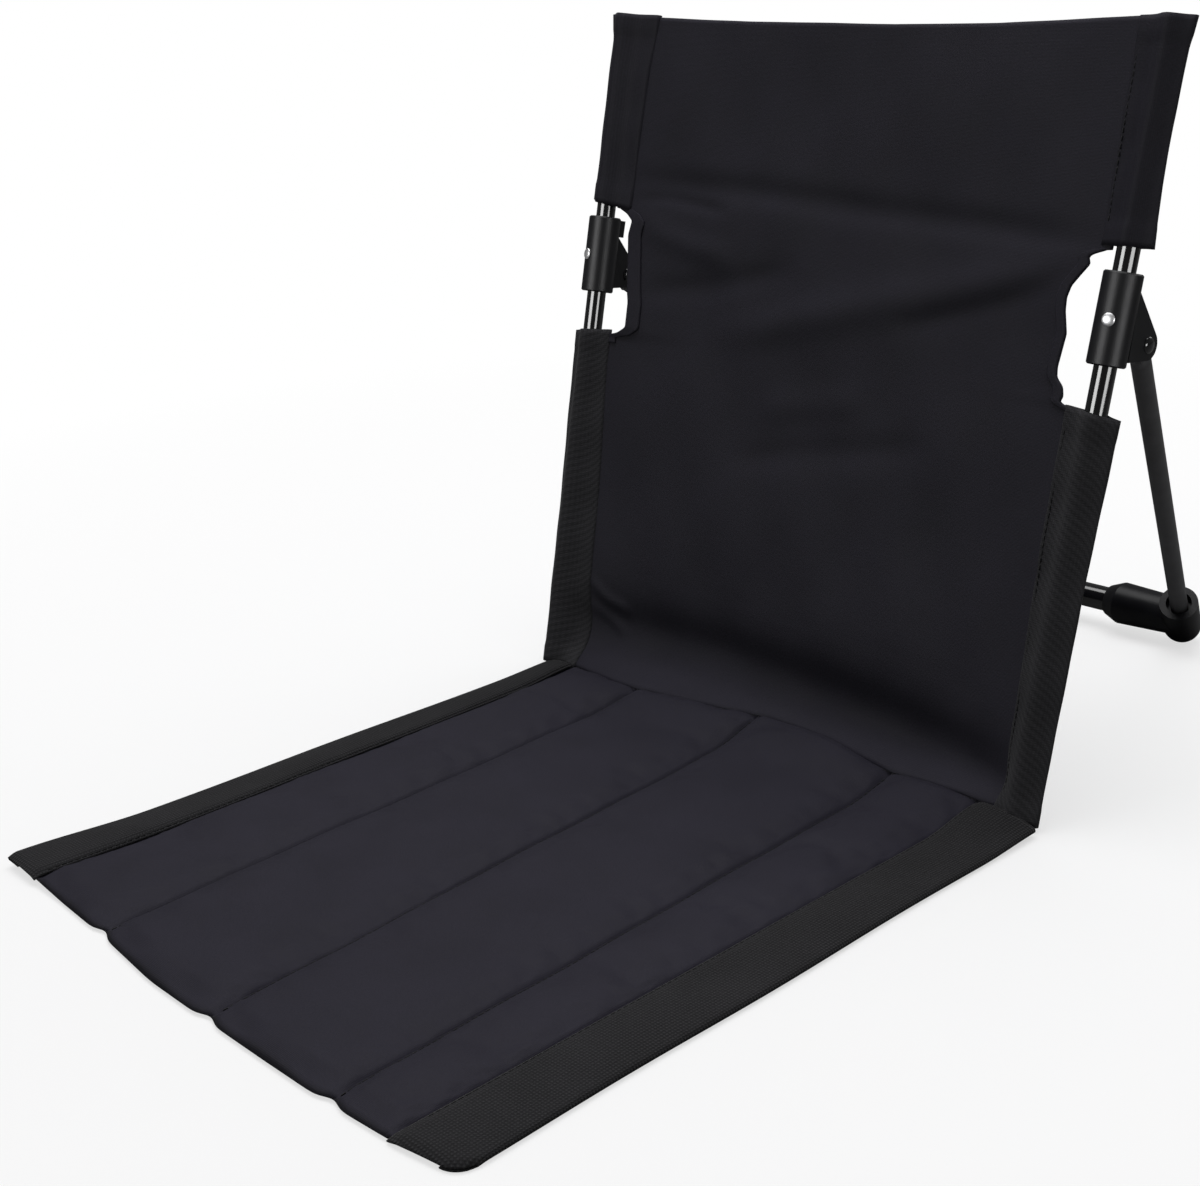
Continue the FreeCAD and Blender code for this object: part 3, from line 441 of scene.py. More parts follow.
def panel_front(x, up, side):
    """Distance behind the uprights' plane of the panel at a point near one side."""
    share = np.clip(x / panel_edge(side, up), -1, 1)
    return back_rear(x, up, share)


def panel_spot(share, climb):
    """Point of the panel at a share across and a share of the way from the crease to the top."""
    up = climb * TOP_EDGE[0][1]
    for _ in range(PANEL_ROUNDS):
        x = np.where(share > 0, share * panel_edge(1, up), share * panel_edge(-1, up))
        low = follow(CREASE_SEAM, x)
        up = low + (follow(TOP_EDGE, x) - low) * climb
    return x, up, back_rear(x, up, share)


def back_panel():
    share, climb = np.meshgrid(np.linspace(-1, 1, PANEL_COLUMNS), np.linspace(0, 1, PANEL_ROWS))
    x, up, rear = panel_spot(share, climb)
    item = grid_object("back_cloth", on_back(x, up, rear), np.stack([x, up], -1), CLOTH)
    item.data.materials.append(back_cloth_look)
    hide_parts("back_panel")
    return item


# Pockets: a folded strip round each upright, seamed beside the tube, with a turned hem at each end
# Outer fold and inner seam on each side: height up the back and distance across
POCKET_OUTER = {
    1: ((0.0, 0.1976), (0.1235, 0.2002), (0.2195, 0.2040), (0.306, 0.2058), (0.337, 0.2042),
        (0.366, 0.2042), (0.404, 0.2052), (0.420, 0.2074)),
    -1: ((0.0, 0.1914), (0.078, 0.1952), (0.148, 0.1990), (0.2195, 0.2032), (0.306, 0.2018),
         (0.357, 0.2022), (0.404, 0.2034), (0.420, 0.2066)),
}
POCKET_INNER = {
    1: ((0.0, 0.1700), (0.077, 0.1706), (0.146, 0.1690), (0.215, 0.1702), (0.308, 0.1752),
        (0.363, 0.1745), (0.420, 0.1750)),
    -1: ((0.0, 0.1620), (0.029, 0.1622), (0.064, 0.1635), (0.103, 0.1655), (0.152, 0.1690),
         (0.201, 0.1735), (0.2195, 0.1740), (0.306, 0.1706), (0.338, 0.1700), (0.388, 0.1696),
         (0.420, 0.1672)),
}
# Distances inward from the tube's axis between which a pocket comes to meet the panel
FLANGE_MEETS = (0.006, 0.015)
POCKET_ROW = 0.003
POCKET_TURNS = 40
POCKET_PATTERN_RADIUS = 0.0095
# Half thickness of the flat cloth, play round the tube, and how wide the swell is and how it falls off
FLANGE_HALF = 0.0012
TUBE_PLAY = 0.0002
TUBE_SWELL = 0.0078
SWELL_FALL = 1.4
# Low powers make the section's ends blunt
SECTION_POWER = 0.35
# Turned hems at the ends: their length, the fade past it and the thickness that they add
HEM_LENGTH = 0.010
HEM_FADE = 0.002
HEM_THICK = 0.0007
# Uneven thickness along a pocket: rate, phase and height
POCKET_WAVES = ((170, 1, 0.0003), (61, 2, 0.0004))
SLANT_LENGTH = 0.03


def flange_rear(x, up, side):
    """Distance behind the uprights' plane of a pocket's middle: beside the tube it meets the panel."""
    beside = smoothstep(*FLANGE_MEETS, upright_x(up) - np.abs(x))
    return beside * panel_front(x, up, side)


def pocket(name, node, side, start, end, slants, look):
    """One pocket; the slants are how far its inner edge reaches past the start and the end."""
    ups = np.linspace(start, end, int((end - start) / POCKET_ROW))
    turns = np.linspace(0, 2 * math.pi, POCKET_TURNS + 1)[:-1]
    turn, up = np.meshgrid(turns, ups)
    axis = upright_x(up)
    flat = np.cos(turn)
    outward = follow(POCKET_OUTER[side], up) - axis
    inward = axis - follow(POCKET_INNER[side], up)
    across = axis + flat * np.where(flat > 0, outward, inward)
    body = np.exp(-((across - axis) / TUBE_SWELL) ** 2 * SWELL_FALL)
    faded_hem = HEM_LENGTH + HEM_FADE
    hem = HEM_THICK * (smoothstep(start + faded_hem, start + HEM_LENGTH, up)
                       + smoothstep(end - faded_hem, end - HEM_LENGTH, up))
    uneven = sum(height * np.sin(up * rate + phase * side) for rate, phase, height in POCKET_WAVES)
    depth = FLANGE_HALF + (UPRIGHT_RADIUS + TUBE_PLAY) * body + hem + uneven * (1 - body)
    bow = np.copysign(np.abs(np.sin(turn)) ** SECTION_POWER, np.sin(turn))
    slant = slants[1] * smoothstep(end - SLANT_LENGTH, end, up)
    slant = slant - slants[0] * smoothstep(start + SLANT_LENGTH, start, up)
    x = side * across
    up = up + (1 - flat) / 2 * slant
    points = on_back(x, up, bow * depth + flange_rear(x, up, side))
    uvs = np.stack([turn * POCKET_PATTERN_RADIUS, up], -1)
    item = mesh_object(name, points, grid_faces(len(ups), len(turns), wrap=True), uvs)
    thicken(item, CLOTH, offset=-1.0)
    item.data.materials.append(look)
    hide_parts(node)
    return item


# Seat mat: a closed quilt of four padded channels, blown up a little between its seams
# Lines on the mat as distance across at the crease and at the front edge
LEFT_EDGE = (-0.1830, -0.2045)
LEFT_HEM = (-0.1620, -0.1730)
SEAMS = ((-0.0990, -0.0955), (-0.0050, 0.0155), (0.1020, 0.1135))
RIGHT_HEM = (0.1610, 0.1540)
RIGHT_EDGE = (0.1990, 0.1950)
MAT_INSET = 0.0022
# Front edge: distance across and distance from the crease
FRONT_EDGE = ((-0.2045, 0.3812), (-0.1500, 0.3840), (-0.0955, 0.3880), (-0.0350, 0.3950),
              (0.0155, 0.3960), (0.0650, 0.3965), (0.1135, 0.3965), (0.1550, 0.3945), (0.1950, 0.3890))
# Its distance from the crease before that line is followed
USUAL_FRONT = 0.390
FRONT_ROUNDING = 0.010
FRONT_LAP = 0.0012
NOTCH_DEPTH = 0.0030
NOTCH_WIDTH = 0.007
CORNER_RADIUS = 0.010
# Heights over the ground: the lower cloth, the closed rim, the seams and the cloth under a band
GROUND = 0.0004
RIM_HEIGHT = 0.0014
SEAM_PINCH = 0.0024
UNDER_BAND = 0.0014
# Padding: its swell beside a seam, its slower rise to a channel's middle and the groove of a seam
SWELL_HEIGHT = 0.0026
SWELL_REACH = 0.0045
CHANNEL_HEIGHT = 0.0014
CHANNEL_REACH = 0.045
GROOVE_DEPTH = 0.0014
GROOVE_WIDTH = 0.0012
# The padding ends under the bands and thins towards the front edge
BAND_COVER = 0.004
FRONT_FADE = (-0.002, 0.016)
FRONT_SHARE = 0.45
# Worn unevenness: its height and the rates across and forward of two crossing waves
WORN_HEIGHT = 0.0005
WORN_RATES = ((71, 23), (-31, 57))
# Front left corner, which doesn't lie flat
CURL_PLACE = (-0.205, 0.385)
CURL_HEIGHT = 0.004
CURL_REACH = 0.070
CURL_STRETCH = 0.8
# Grid lines of the mat run along its edges and seams: their shares across and the spans between them
STRIP_SHARES = (-1, -0.934, -0.571, -0.029, 0.588, 0.929, 1)
SEAM_SHARES = STRIP_SHARES[2:5]
STRIP_SPANS = (5, 30, 34, 34, 30, 5)
MAT_ROWS = 96
# Beside the crease the grid leaves the seam over a share of the length, and the mat comes down
LEAVING_SHARE = 0.05
CREASE_REACH = 0.045
# Pressure run: the width held at a seam, the steps and the furthest that a point may move
SEAM_HOLD = 0.0022
PUFF_STEPS = 20
PUFF_LIMIT = 0.0010


def line_at(line, forward):
    """Distance across of a line of the mat at a distance forward of the crease."""
    return line[0] + (line[1] - line[0]) * forward / SEAT_LENGTH


def front_edge(x):
    """Distance of the mat's front edge from the crease, notched at the seams and round at the right."""
    notch = sum(NOTCH_DEPTH * np.exp(-((x - seam[1]) / NOTCH_WIDTH) ** 2) for seam in SEAMS)
    past = np.clip(x - (RIGHT_EDGE[1] - CORNER_RADIUS), 0, CORNER_RADIUS)
    corner = CORNER_RADIUS - np.sqrt(CORNER_RADIUS ** 2 - past ** 2)
    return soft_follow(FRONT_EDGE, x, FRONT_ROUNDING) + FRONT_LAP - notch - corner


def seam_distance(x, forward):
    """Distance across to the nearest seam of the quilting."""
    lines = SEAMS + (LEFT_HEM, RIGHT_HEM)
    return np.min(np.stack([np.abs(x - line_at(line, forward)) for line in lines]), axis=0)


def past_hem(x, forward):
    """Distance of a point outside the nearer hem line, where a band covers the mat."""
    return np.maximum(x - line_at(RIGHT_HEM, forward), line_at(LEFT_HEM, forward) - x)


def quilt_height(x, forward):
    """Height of the top cloth over the ground."""
    away = seam_distance(x, forward)
    puff = SWELL_HEIGHT * (1 - np.exp(-(away / SWELL_REACH) ** 2))
    puff = puff + CHANNEL_HEIGHT * smoothstep(0, CHANNEL_REACH, away)
    quilted = smoothstep(BAND_COVER, 0.0, past_hem(x, forward))
    front = smoothstep(*FRONT_FADE, front_edge(x) - forward)
    worn = WORN_HEIGHT
    for across, along in WORN_RATES:
        worn = worn * np.sin(x * across + forward * along)
    groove = GROOVE_DEPTH * np.exp(-(away / GROOVE_WIDTH) ** 2)
    height = UNDER_BAND + (SEAM_PINCH - groove + puff + worn - UNDER_BAND) * quilted
    return height * (FRONT_SHARE + (1 - FRONT_SHARE) * front)


def curl(x, forward):
    """Lift of the front left corner."""
    distance = np.hypot(x - CURL_PLACE[0], (forward - CURL_PLACE[1]) * CURL_STRETCH)
    return CURL_HEIGHT * smoothstep(CURL_REACH, 0.0, distance)


def mat_shares():
    """Shares across the mat, closer together beside each seam."""
    shares = [np.array([-1.0])]
    for start, end, spans in zip(STRIP_SHARES, STRIP_SHARES[1:], STRIP_SPANS):
        steps = np.arange(1, spans + 1) / spans
        shares.append(start + (end - start) * (1 - np.cos(math.pi * steps)) / 2)
    return np.concatenate(shares)


def mat_across(share, forward):
    """Distance across of a grid line of the mat at a distance forward of the crease."""
    lines = (LEFT_EDGE, LEFT_HEM) + SEAMS + (RIGHT_HEM, RIGHT_EDGE)
    places = [line_at(line, forward) for line in lines]
    places[0] = places[0] + MAT_INSET
    places[-1] = places[-1] - MAT_INSET
    x = places[0]
    for low, high, start, end in zip(places, places[1:], STRIP_SHARES, STRIP_SHARES[1:]):
        x = x + (high - low) * np.clip((share - start) / (end - start), 0, 1)
    return x


def crease_spot(share):
    """The seam that joins the mat to the back, at a share across."""
    x, up, rear = panel_spot(share, np.zeros_like(share))
    return on_back(x, up, rear)


def mat_frame(share, climb):
    """Across, forward and lift of a point of the mat, from the crease seam to the front edge."""
    seam = crease_spot(np.clip(share, -1, 1))
    start = CREASE_Y - seam[..., 1]
    forward = start + (USUAL_FRONT - start) * climb
    x = mat_across(share, forward)
    x = seam[..., 0] + (x - seam[..., 0]) * smoothstep(0.0, LEAVING_SHARE, climb)
    forward = start + (front_edge(x) - start) * climb
    rise = (seam[..., 2] - SEAM_PINCH) * smoothstep(CREASE_REACH, 0.0, forward - start)
    return x, forward, rise + curl(x, forward)


def inflate(item, held):
    """A short pressure run: the cloth stretches and creases between the held seams."""
    group = item.vertex_groups.new(name="held")
    group.add([int(i) for i in np.flatnonzero(held)], 1.0, "REPLACE")
    before = np.zeros(len(item.data.vertices) * 3)
    item.data.vertices.foreach_get("co", before)
    cloth = item.modifiers.new("pressure", "CLOTH")
    settings = cloth.settings
    settings.quality = 3
    settings.mass = 0.2
    settings.tension_stiffness = 12
    settings.compression_stiffness = 4
    settings.shear_stiffness = 3
    settings.bending_stiffness = 0.4
    settings.use_pressure = True
    settings.uniform_pressure_force = 4.0
    settings.vertex_group_mass = "held"
    settings.shrink_min = -0.012
    settings.effector_weights.gravity = 0.0
    cloth.point_cache.frame_start = 1
    cloth.point_cache.frame_end = PUFF_STEPS
    scene = bpy.context.scene
    for step in range(1, PUFF_STEPS + 1):
        scene.frame_set(step)
    apply_modifiers(item)
    after = np.zeros_like(before)
    item.data.vertices.foreach_get("co", after)
    move = (after - before).reshape(-1, 3)
    length = np.linalg.norm(move, axis=1, keepdims=True)
    capped = move * np.minimum(1, PUFF_LIMIT / np.maximum(length, 1e-9))
    item.data.vertices.foreach_set("co", (before.reshape(-1, 3) + capped).ravel())
    item.data.update()
    scene.frame_set(1)
    print("seat mat moved up to %.1f mm" % (length.max() * 1000))


def closed_skin(rim):
    """Faces of an upper and a lower grid that share the points of their rim, and the points in use."""
    faces = grid_faces(*rim.shape)
    faces = [face[::-1] for face in faces] + [tuple(c + rim.size for c in face) for face in faces]
    weld = {index + rim.size: index for index in np.flatnonzero(rim.ravel())}
    faces = [tuple(weld.get(c, c) for c in face) for face in faces]
    used = sorted({c for face in faces for c in face})
    place = {old: new for new, old in enumerate(used)}
    return [tuple(place[c] for c in face) for face in faces], used


def seat_mat():
    """Top and ground cloth as one closed skin, held at its seams and edge while pressure fills it."""
    share, climb = np.meshgrid(mat_shares(), np.linspace(0, 1, MAT_ROWS))
    x, forward, lift = mat_frame(share, climb)
    rim = (np.abs(share) >= 1) | (climb <= 0) | (climb >= 1)
    middle = np.where(climb <= 0, SEAM_PINCH, RIM_HEIGHT)
    top = np.where(rim, middle, quilt_height(x, forward))
    low = np.where(rim, middle, GROUND)
    upper = np.stack([x, CREASE_Y - forward, top + lift], -1).reshape(-1, 3)
    lower = np.stack([x, CREASE_Y - forward, low + lift], -1).reshape(-1, 3)
    uv = np.stack([x, forward], -1).reshape(-1, 2)
    faces, used = closed_skin(rim)
    points = np.concatenate([upper, lower])[used]
    item = mesh_object("seat_mat", points, faces, np.concatenate([uv, uv])[used])
    pinned = rim | (seam_distance(x, forward) < SEAM_HOLD) | (past_hem(x, forward) > 0)
    held = np.concatenate([pinned.ravel(), np.ones(rim.size, bool)])[used]
    inflate(item, held)
    item.data.materials.append(seat_cloth)
    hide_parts("seat_top_cloth", "seat_ground_cloth", "seat_foam_1", "seat_foam_2", "seat_foam_3",
                "seat_foam_4")
    return item


# Seat bands: a strip of coarse cloth folded round each side edge of the mat
# Shares of the strip's width where its fold starts and ends
TURN_START = 0.66
TURN_END = 0.80
TURN_RADIUS = 0.0017
UNDER_WIDTH = 0.010
BAND_START = 0.004
BAND_FRONT_LAP = 0.0010
# Heights at the sewn edge and beyond it, and the share of the width over which the cloth climbs
BAND_EDGE = 0.0018
BAND_TOP = SEAM_PINCH + 0.0010
EDGE_SHARE = 0.16
# Crown of the strip, and the wave along it
CROWN_HEIGHT = 0.0008
CROWN_POWER = 0.6
WAVE_HEIGHT = 0.0007
WAVE_RATE = 47
# Waver of the outer edge along the strip
WAVER_WIDTH = 0.0006
WAVER_RATE = 33
# Rear end: how far each band climbs to the crease, and the share of it lost at the outer edge
BAND_RISE = {-1: 0.0030, 1: 0.0052}
RISE_REACH = 0.045
RISE_LOSS = 0.7
# Front end: share of the length where it starts to close, and the share of the height left at the end
CLOSING_SHARE = 0.985
CLOSED_HEIGHT = 0.35
# Rows of the grid lie closer together at the front end
BAND_CLIMBS = np.concatenate([np.linspace(0, 0.96, 120), np.linspace(0.963, 1, 16)])
BAND_COLUMNS = 46
# The strip's width is measured here, and the fold and the part under the mat are added
MEASURE_FORWARD = 0.2
FOLDED_WIDTH = 0.014


def band_top(flat, forward, side):
    """Height of a band's cloth over the ground; flat runs from its sewn edge to its fold."""
    sewn = BAND_EDGE + (BAND_TOP - BAND_EDGE) * smoothstep(0, EDGE_SHARE, flat)
    arch = np.sin(math.pi * flat)
    crown = CROWN_HEIGHT * arch ** CROWN_POWER + WAVE_HEIGHT * np.sin(forward * WAVE_RATE + side) * arch
    return sewn + crown


def band_rise(flat, forward, side):
    """Climb of a band's rear end to the crease."""
    near = smoothstep(RISE_REACH, 0.0, forward - BAND_START)
    return BAND_RISE[side] * near * (1 - RISE_LOSS * flat ** 2)


def seat_band(name, node, side, hem, outside):
    """One band, from its sewn edge over the mat, round the side and a little way under it."""
    run, climb = np.meshgrid(np.linspace(0, 1, BAND_COLUMNS), BAND_CLIMBS)
    forward = BAND_START + BAND_LENGTH * climb
    inner = line_at(hem, forward)
    outer = line_at(outside, forward) + WAVER_WIDTH * np.sin(forward * WAVER_RATE + side)
    flat = np.clip(run / TURN_START, 0, 1)
    angle = math.pi * np.clip((run - TURN_START) / (TURN_END - TURN_START), 0, 1)
    under = np.clip((run - TURN_END) / (1 - TURN_END), 0, 1)
    fold = outer - side * TURN_RADIUS
    x = inner + (fold - inner) * flat + side * TURN_RADIUS * np.sin(angle) - side * UNDER_WIDTH * under
    reach = front_edge(x) + BAND_FRONT_LAP - BAND_START
    forward = BAND_START + reach * climb
    top = band_top(flat, forward, side)
    close = np.sqrt(np.clip(1 - smoothstep(CLOSING_SHARE, 1.0, climb), 0, 1))
    z = np.where(run < TURN_START, top, GROUND + (top - GROUND) * (1 + np.cos(angle)) / 2)
    z = GROUND + (z - GROUND) * (CLOSED_HEIGHT + (1 - CLOSED_HEIGHT) * close)
    z = z + curl(x, forward) + band_rise(flat, forward, side)
    points = np.stack([x, CREASE_Y - forward, z], -1)
    wide = abs(line_at(hem, MEASURE_FORWARD) - line_at(outside, MEASURE_FORWARD)) + FOLDED_WIDTH
    uvs = np.stack([run * wide, forward], -1)
    item = grid_object(name, points, uvs, CLOTH)
    item.data.materials.append(seat_band_look)
    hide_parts(node)
    return item


# Window bindings: a folded tape on both faces of the panel's edge
BINDING_PAST_WINDOW = 0.004
BINDING_ROWS = 90
BINDING_COLUMNS = 21
BINDING_CLOTH = 0.0006
BINDING_LIFT = 0.0010
BINDING_OVERHANG = 0.0008
# How sharply the tape's two faces part at its fold, and how far its grid crowds towards the fold
FACE_SHARPNESS = 5
INWARD_POWER = 1.5
# The panel is measured this far inside its edge
EDGE_MARGIN = 0.0002
WINDOW_SAMPLES = 400


def window_line(side, count):
    """Heights and distances across along a window's edge, evenly spaced."""
    edge = WINDOW_EDGES[side]
    ups = np.linspace(edge[0][0] - BINDING_PAST_WINDOW, edge[-1][0] + BINDING_PAST_WINDOW, WINDOW_SAMPLES)
    xs = panel_edge(side, ups)
    steps = np.concatenate([[0], np.cumsum(np.hypot(np.diff(ups), np.diff(xs)))])
    marks = np.linspace(0, steps[-1], count)
    return np.interp(marks, steps, ups), np.interp(marks, steps, xs), marks


def binding(name, side, wide):
    """A folded tape round the edge of a hinge window, on both faces of the panel."""
    ups, xs, marks = window_line(side, BINDING_ROWS)
    run, up = np.meshgrid(np.linspace(-1, 1, BINDING_COLUMNS), ups)
    edge = np.broadcast_to(xs[:, None], run.shape)
    inward = np.abs(run) ** INWARD_POWER * wide
    x = side * (edge + BINDING_OVERHANG - inward)
    lift = BINDING_LIFT * np.tanh(run * FACE_SHARPNESS)
    rear = panel_front(np.sign(x) * np.minimum(np.abs(x), edge - EDGE_MARGIN), up, side) + lift
    uvs = np.stack([run * wide, np.broadcast_to(marks[:, None], run.shape)], -1)
    item = grid_object(name, on_back(x, up, rear), uvs, BINDING_CLOTH)
    item.data.materials.append(back_cloth_look)
    return item


# Stitching: short straight stitches of thread along lines of points
STITCH_LENGTH = 0.0028
STITCH_PITCH = 0.0040
STITCH_START = 0.001
THREAD_RADIUS = 0.00035
THREAD_SIDES = 5
# A direction that no line of stitches runs along
THREAD_ASIDE = (0.31, 0.87, 0.38)
# Seams of the mat: shares of the length, points and lift off the cloth
QUILTING_SPAN = (0.015, 0.99)
QUILTING_POINTS = 130
QUILTING_LIFT = 0.0003
# Hems of the bands: distances forward, points, distance from the sewn edge and lift off the cloth
HEM_SPAN = (0.008, 0.376)
HEM_POINTS = 120
HEM_INSET = 0.0016
HEM_LIFT = 0.0001
# Seams of the pockets: distance from the ends, points, distance from the edge and lift off the middle
FLANGE_END = 0.003
FLANGE_POINTS = 60
FLANGE_INSET = 0.0022
FLANGE_LIFT = 0.0010


def stitch(start, end, first):
    """Points and faces of one stitch, a short rod with pointed ends; first numbers its first point."""
    along = (end - start) / np.linalg.norm(end - start)
    across = np.cross(along, THREAD_ASIDE)
    across = across / np.linalg.norm(across)
    third = np.cross(along, across)
    near = first + 1
    far = near + THREAD_SIDES
    tip = far + THREAD_SIDES
    points = [start - along * THREAD_RADIUS]
    for centre in (start + along * THREAD_RADIUS, end - along * THREAD_RADIUS):
        for turn in range(THREAD_SIDES):
            angle = 2 * math.pi * turn / THREAD_SIDES
            aside = across * math.cos(angle) + third * math.sin(angle)
            points.append(centre + aside * THREAD_RADIUS)
    points.append(end + along * THREAD_RADIUS)
    faces = []
    for turn in range(THREAD_SIDES):
        after = (turn + 1) % THREAD_SIDES
        faces.append((first, near + after, near + turn))
        faces.append((near + turn, near + after, far + after, far + turn))
        faces.append((tip, far + turn, far + after))
    return points, faces


def stitches(name, lines):
    """Thread in short straight stitches along lines of points."""
    points = []
    faces = []
    for line in lines:
        steps = np.concatenate([[0], np.cumsum(np.linalg.norm(np.diff(line, axis=0), axis=1))])
        for begin in np.arange(STITCH_START, steps[-1] - STITCH_LENGTH, STITCH_PITCH):
            ends = [np.array([np.interp(at, steps, line[:, axis]) for axis in range(3)])
                    for at in (begin, begin + STITCH_LENGTH)]
            more_points, more_faces = stitch(*ends, len(points))
            points.extend(more_points)
            faces.extend(more_faces)
    item = mesh_object(name, points, faces, np.asarray(points)[:, :2])
    item.data.materials.append(thread_look)
    return item


def mat_line(share):
    """Points along a seam of the mat, on its top face."""
    climb = np.linspace(*QUILTING_SPAN, QUILTING_POINTS)
    x, forward, lift = mat_frame(np.full_like(climb, share), climb)
    return np.stack([x, CREASE_Y - forward, quilt_height(x, forward) + lift + QUILTING_LIFT], -1)


def hem_line(side, hem, outside):
    """Points along a band's sewn edge, on its top face."""
    forward = np.linspace(*HEM_SPAN, HEM_POINTS)
    x = line_at(hem, forward) + side * HEM_INSET
    flat = HEM_INSET / (np.abs(line_at(outside, forward) - line_at(hem, forward)) - TURN_RADIUS)
    z = band_top(flat, forward, side) + band_rise(flat, forward, side) + curl(x, forward)
    return np.stack([x, CREASE_Y - forward, z + CLOTH / 2 + HEM_LIFT], -1)


def flange_line(side, start, end):
    """Points along the seam beside a pocket."""
    ups = np.linspace(start + FLANGE_END, end - FLANGE_END, FLANGE_POINTS)
    x = side * (follow(POCKET_INNER[side], ups) + FLANGE_INSET)
    return on_back(x, ups, flange_rear(x, ups, side) - FLANGE_LIFT)


# Cloth pieces, with what differs between the left side (-1) and the right (1)
BAND_LINES = {-1: (LEFT_HEM, LEFT_EDGE), 1: (RIGHT_HEM, RIGHT_EDGE)}
UPPER_HANG = {-1: 0.0020, 1: 0.0}
UPPER_SLANTS = {-1: (0.0045, 0.0), 1: (0.0, 0.0)}
LOWER_SLANTS = (0.0, 0.0038)
LOWER_SEAM_START = 0.012
BINDING_WIDTH = {-1: 0.0115, 1: 0.0060}

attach(back_panel(), "backrest")
mat = seat_mat()
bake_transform(mat)
for word, side in (("left", -1), ("right", 1)):
    band = seat_band(word + "_seat_band", word + "_seat_hem", side, *BAND_LINES[side])
    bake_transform(band)
    upper = pocket(word + "_upper_sleeve_cloth", word + "_upper_pocket", side,
                   UPPER_POCKET_START - UPPER_HANG[side], BACK_LENGTH, UPPER_SLANTS[side],
                   upper_pocket_painted_shade_look)
    lower = pocket(word + "_lower_sleeve_cloth", word + "_lower_pocket", side,
                   LOWER_POCKET_START, LOWER_POCKET_END, LOWER_SLANTS, band_cloth)
    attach(upper, "backrest")
    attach(lower, "backrest")
    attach(binding(word + "_window_binding", side, BINDING_WIDTH[side]), "backrest")
    flanges = [flange_line(side, UPPER_POCKET_START, BACK_LENGTH),
               flange_line(side, LOWER_SEAM_START, LOWER_POCKET_END)]
    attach(stitches(word + "_pocket_thread", flanges), "backrest")
quilting = stitches("quilting_thread", [mat_line(share) for share in SEAM_SHARES])
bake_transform(quilting)
hem_lines = [hem_line(side, *BAND_LINES[side]) for side in (-1, 1)]
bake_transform(stitches("hem_thread", hem_lines))


# Floor, light and camera
FLOOR_HALF = 6.0
FLOOR_HEIGHT = -0.0005
FLOOR_COLOUR = (0.93, 0.93, 0.94, 1)
FLOOR_ROUGHNESS = 0.9
FLOOR_GLOSS = 0.1
FLOOR_BOUNCE = (0.15, 0.15, 0.15, 1)
# Share of the floor's own glow far from the part and under it, and how fast it changes
GLOW_FAR = 1.0
GLOW_NEAR = 0.50
GLOW_SCALE = (0.9, 0.9, 0.9)
# Light from all round: its strength, the grey of the horizon, and what mirrors see of it
AMBIENT = 0.46
HORIZON_GREY = (0.17, 0.17, 0.17)
MIRRORED = 0.10
WHITE = (1, 1, 1)
# Two softboxes that only show as streaks on the tubes
SOFTBOXES = (("front_softbox", (-0.31, -1.61, 0.74), 15), ("right_softbox", (1.96, -0.19, 0.35), 12))
SOFTBOX_TARGET = (0.19, 0.12, 0.27)
VIEW_AZIMUTH = math.radians(48.23)
VIEW_ELEVATION = math.radians(20.02)
VIEW_ROLL = math.radians(-4)
VIEW_PLACE = Vector((0.7319, CREASE_Y - 0.7729, 0.4840))
LENS = 58.304
SENSOR_WIDTH = 36


def plane(name, half, height, material):
    corners = [(x, y, height) for x, y in ((-half, -half), (half, -half), (half, half), (-half, half))]
    item = mesh_object(name, corners, [(0, 1, 2, 3)])
    item.data.materials.append(material)


def floor_material():
    """Pale floor: mostly its own white to the camera, with the shadow still showing."""
    material, nodes, links, shader = start_material("pale_floor")
    shader.inputs["Base Color"].default_value = FLOOR_COLOUR
    shader.inputs["Roughness"].default_value = FLOOR_ROUGHNESS
    shader.inputs["Specular IOR Level"].default_value = FLOOR_GLOSS
    bounce = nodes.new("ShaderNodeBsdfDiffuse")
    bounce.inputs["Color"].default_value = FLOOR_BOUNCE
    glow = nodes.new("ShaderNodeEmission")
    glow.inputs["Strength"].default_value = 1.0
    around = nodes.new("ShaderNodeTexGradient")
    around.gradient_type = "SPHERICAL"
    spot = nodes.new("ShaderNodeMapping")
    spot.inputs["Scale"].default_value = GLOW_SCALE
    links.new(nodes.new("ShaderNodeTexCoord").outputs["Object"], spot.inputs["Vector"])
    links.new(spot.outputs["Vector"], around.inputs["Vector"])
    share = spread(nodes, links, around.outputs["Fac"], GLOW_FAR, GLOW_NEAR)
    seen = mix_shaders(nodes, links, share, shader.outputs["BSDF"], glow.outputs["Emission"])
    to_camera = nodes.new("ShaderNodeLightPath").outputs["Is Camera Ray"]
    mixed = mix_shaders(nodes, links, to_camera, bounce.outputs["BSDF"], seen)
    links.new(mixed, nodes["Material Output"].inputs["Surface"])
    return material


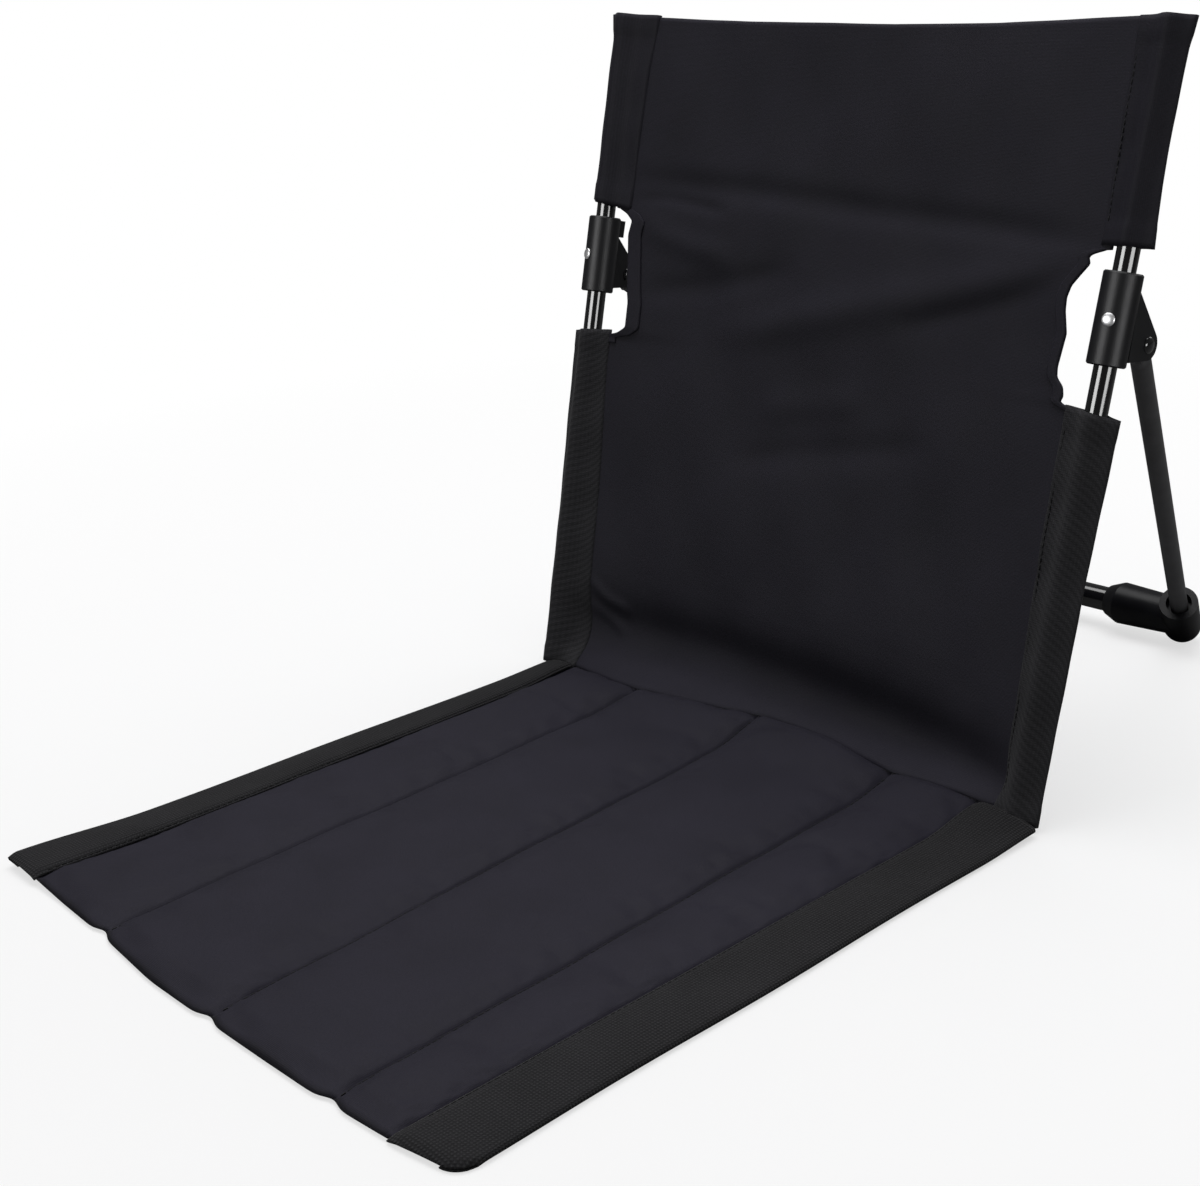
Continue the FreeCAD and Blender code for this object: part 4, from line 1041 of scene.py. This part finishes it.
def studio_world():
    """White to the camera, dim in mirrors, and elsewhere light that fades from the zenith down."""
    world = bpy.data.worlds.new("studio")
    bpy.context.scene.world = world
    world.use_nodes = True
    nodes = world.node_tree.nodes
    links = world.node_tree.links
    ambient = nodes["Background"]
    ambient.inputs["Strength"].default_value = AMBIENT
    sky = nodes.new("ShaderNodeSeparateXYZ")
    links.new(nodes.new("ShaderNodeTexCoord").outputs["Generated"], sky.inputs["Vector"])
    shade = ramp(nodes, links, sky.outputs["Z"], (0.0, HORIZON_GREY), (1.0, WHITE))
    links.new(shade, ambient.inputs["Color"])
    plain = []
    for strength in (MIRRORED, 1.0):
        background = nodes.new("ShaderNodeBackground")
        background.inputs["Color"].default_value = (*WHITE, 1)
        background.inputs["Strength"].default_value = strength
        plain.append(background.outputs["Background"])
    rays = nodes.new("ShaderNodeLightPath").outputs
    mixed = mix_shaders(nodes, links, rays["Is Glossy Ray"], ambient.outputs["Background"], plain[0])
    mixed = mix_shaders(nodes, links, rays["Is Camera Ray"], mixed, plain[1])
    links.new(mixed, nodes["World Output"].inputs["Surface"])


def area_light(name, place, target, wide, high, power):
    data = bpy.data.lights.new(name, "AREA")
    data.shape = "RECTANGLE"
    data.size = wide
    data.size_y = high
    data.energy = power
    item = bpy.data.objects.new(name, data)
    bpy.context.scene.collection.objects.link(item)
    item.location = place
    item.rotation_euler = (Vector(target) - Vector(place)).to_track_quat("-Z", "Y").to_euler()
    return item


plane("floor", FLOOR_HALF, FLOOR_HEIGHT, floor_material())
studio_world()
area_light("overhead", place=(-0.35, 0.30, 2.0), target=(0, 0, 0.1), wide=1.8, high=1.6, power=30)
area_light("rear_fill", place=(0.3, 2.2, 1.4), target=(0, 0.1, 0.2), wide=1.6, high=1.2, power=8)
for name, place, power in SOFTBOXES:
    softbox = area_light(name, place, SOFTBOX_TARGET, wide=1.1, high=0.5, power=power)
    softbox.visible_diffuse = False

eye_right = Vector((math.cos(VIEW_AZIMUTH), math.sin(VIEW_AZIMUTH), 0))
eye_back = Vector((math.sin(VIEW_AZIMUTH) * math.cos(VIEW_ELEVATION),
                   -math.cos(VIEW_AZIMUTH) * math.cos(VIEW_ELEVATION), math.sin(VIEW_ELEVATION)))
eye_up = eye_back.cross(eye_right)
turned_right = eye_right * math.cos(VIEW_ROLL) + eye_up * math.sin(VIEW_ROLL)
turned_up = eye_up * math.cos(VIEW_ROLL) - eye_right * math.sin(VIEW_ROLL)
view_turn = Matrix((turned_right, turned_up, eye_back)).transposed().to_4x4()
camera = bpy.data.objects.new("camera", bpy.data.cameras.new("camera"))
bpy.context.scene.collection.objects.link(camera)
camera.data.lens = LENS
camera.data.sensor_width = SENSOR_WIDTH
camera.matrix_world = Matrix.Translation(VIEW_PLACE) @ view_turn
bpy.context.scene.camera = camera
bpy.context.scene.view_settings.view_transform = "Standard"
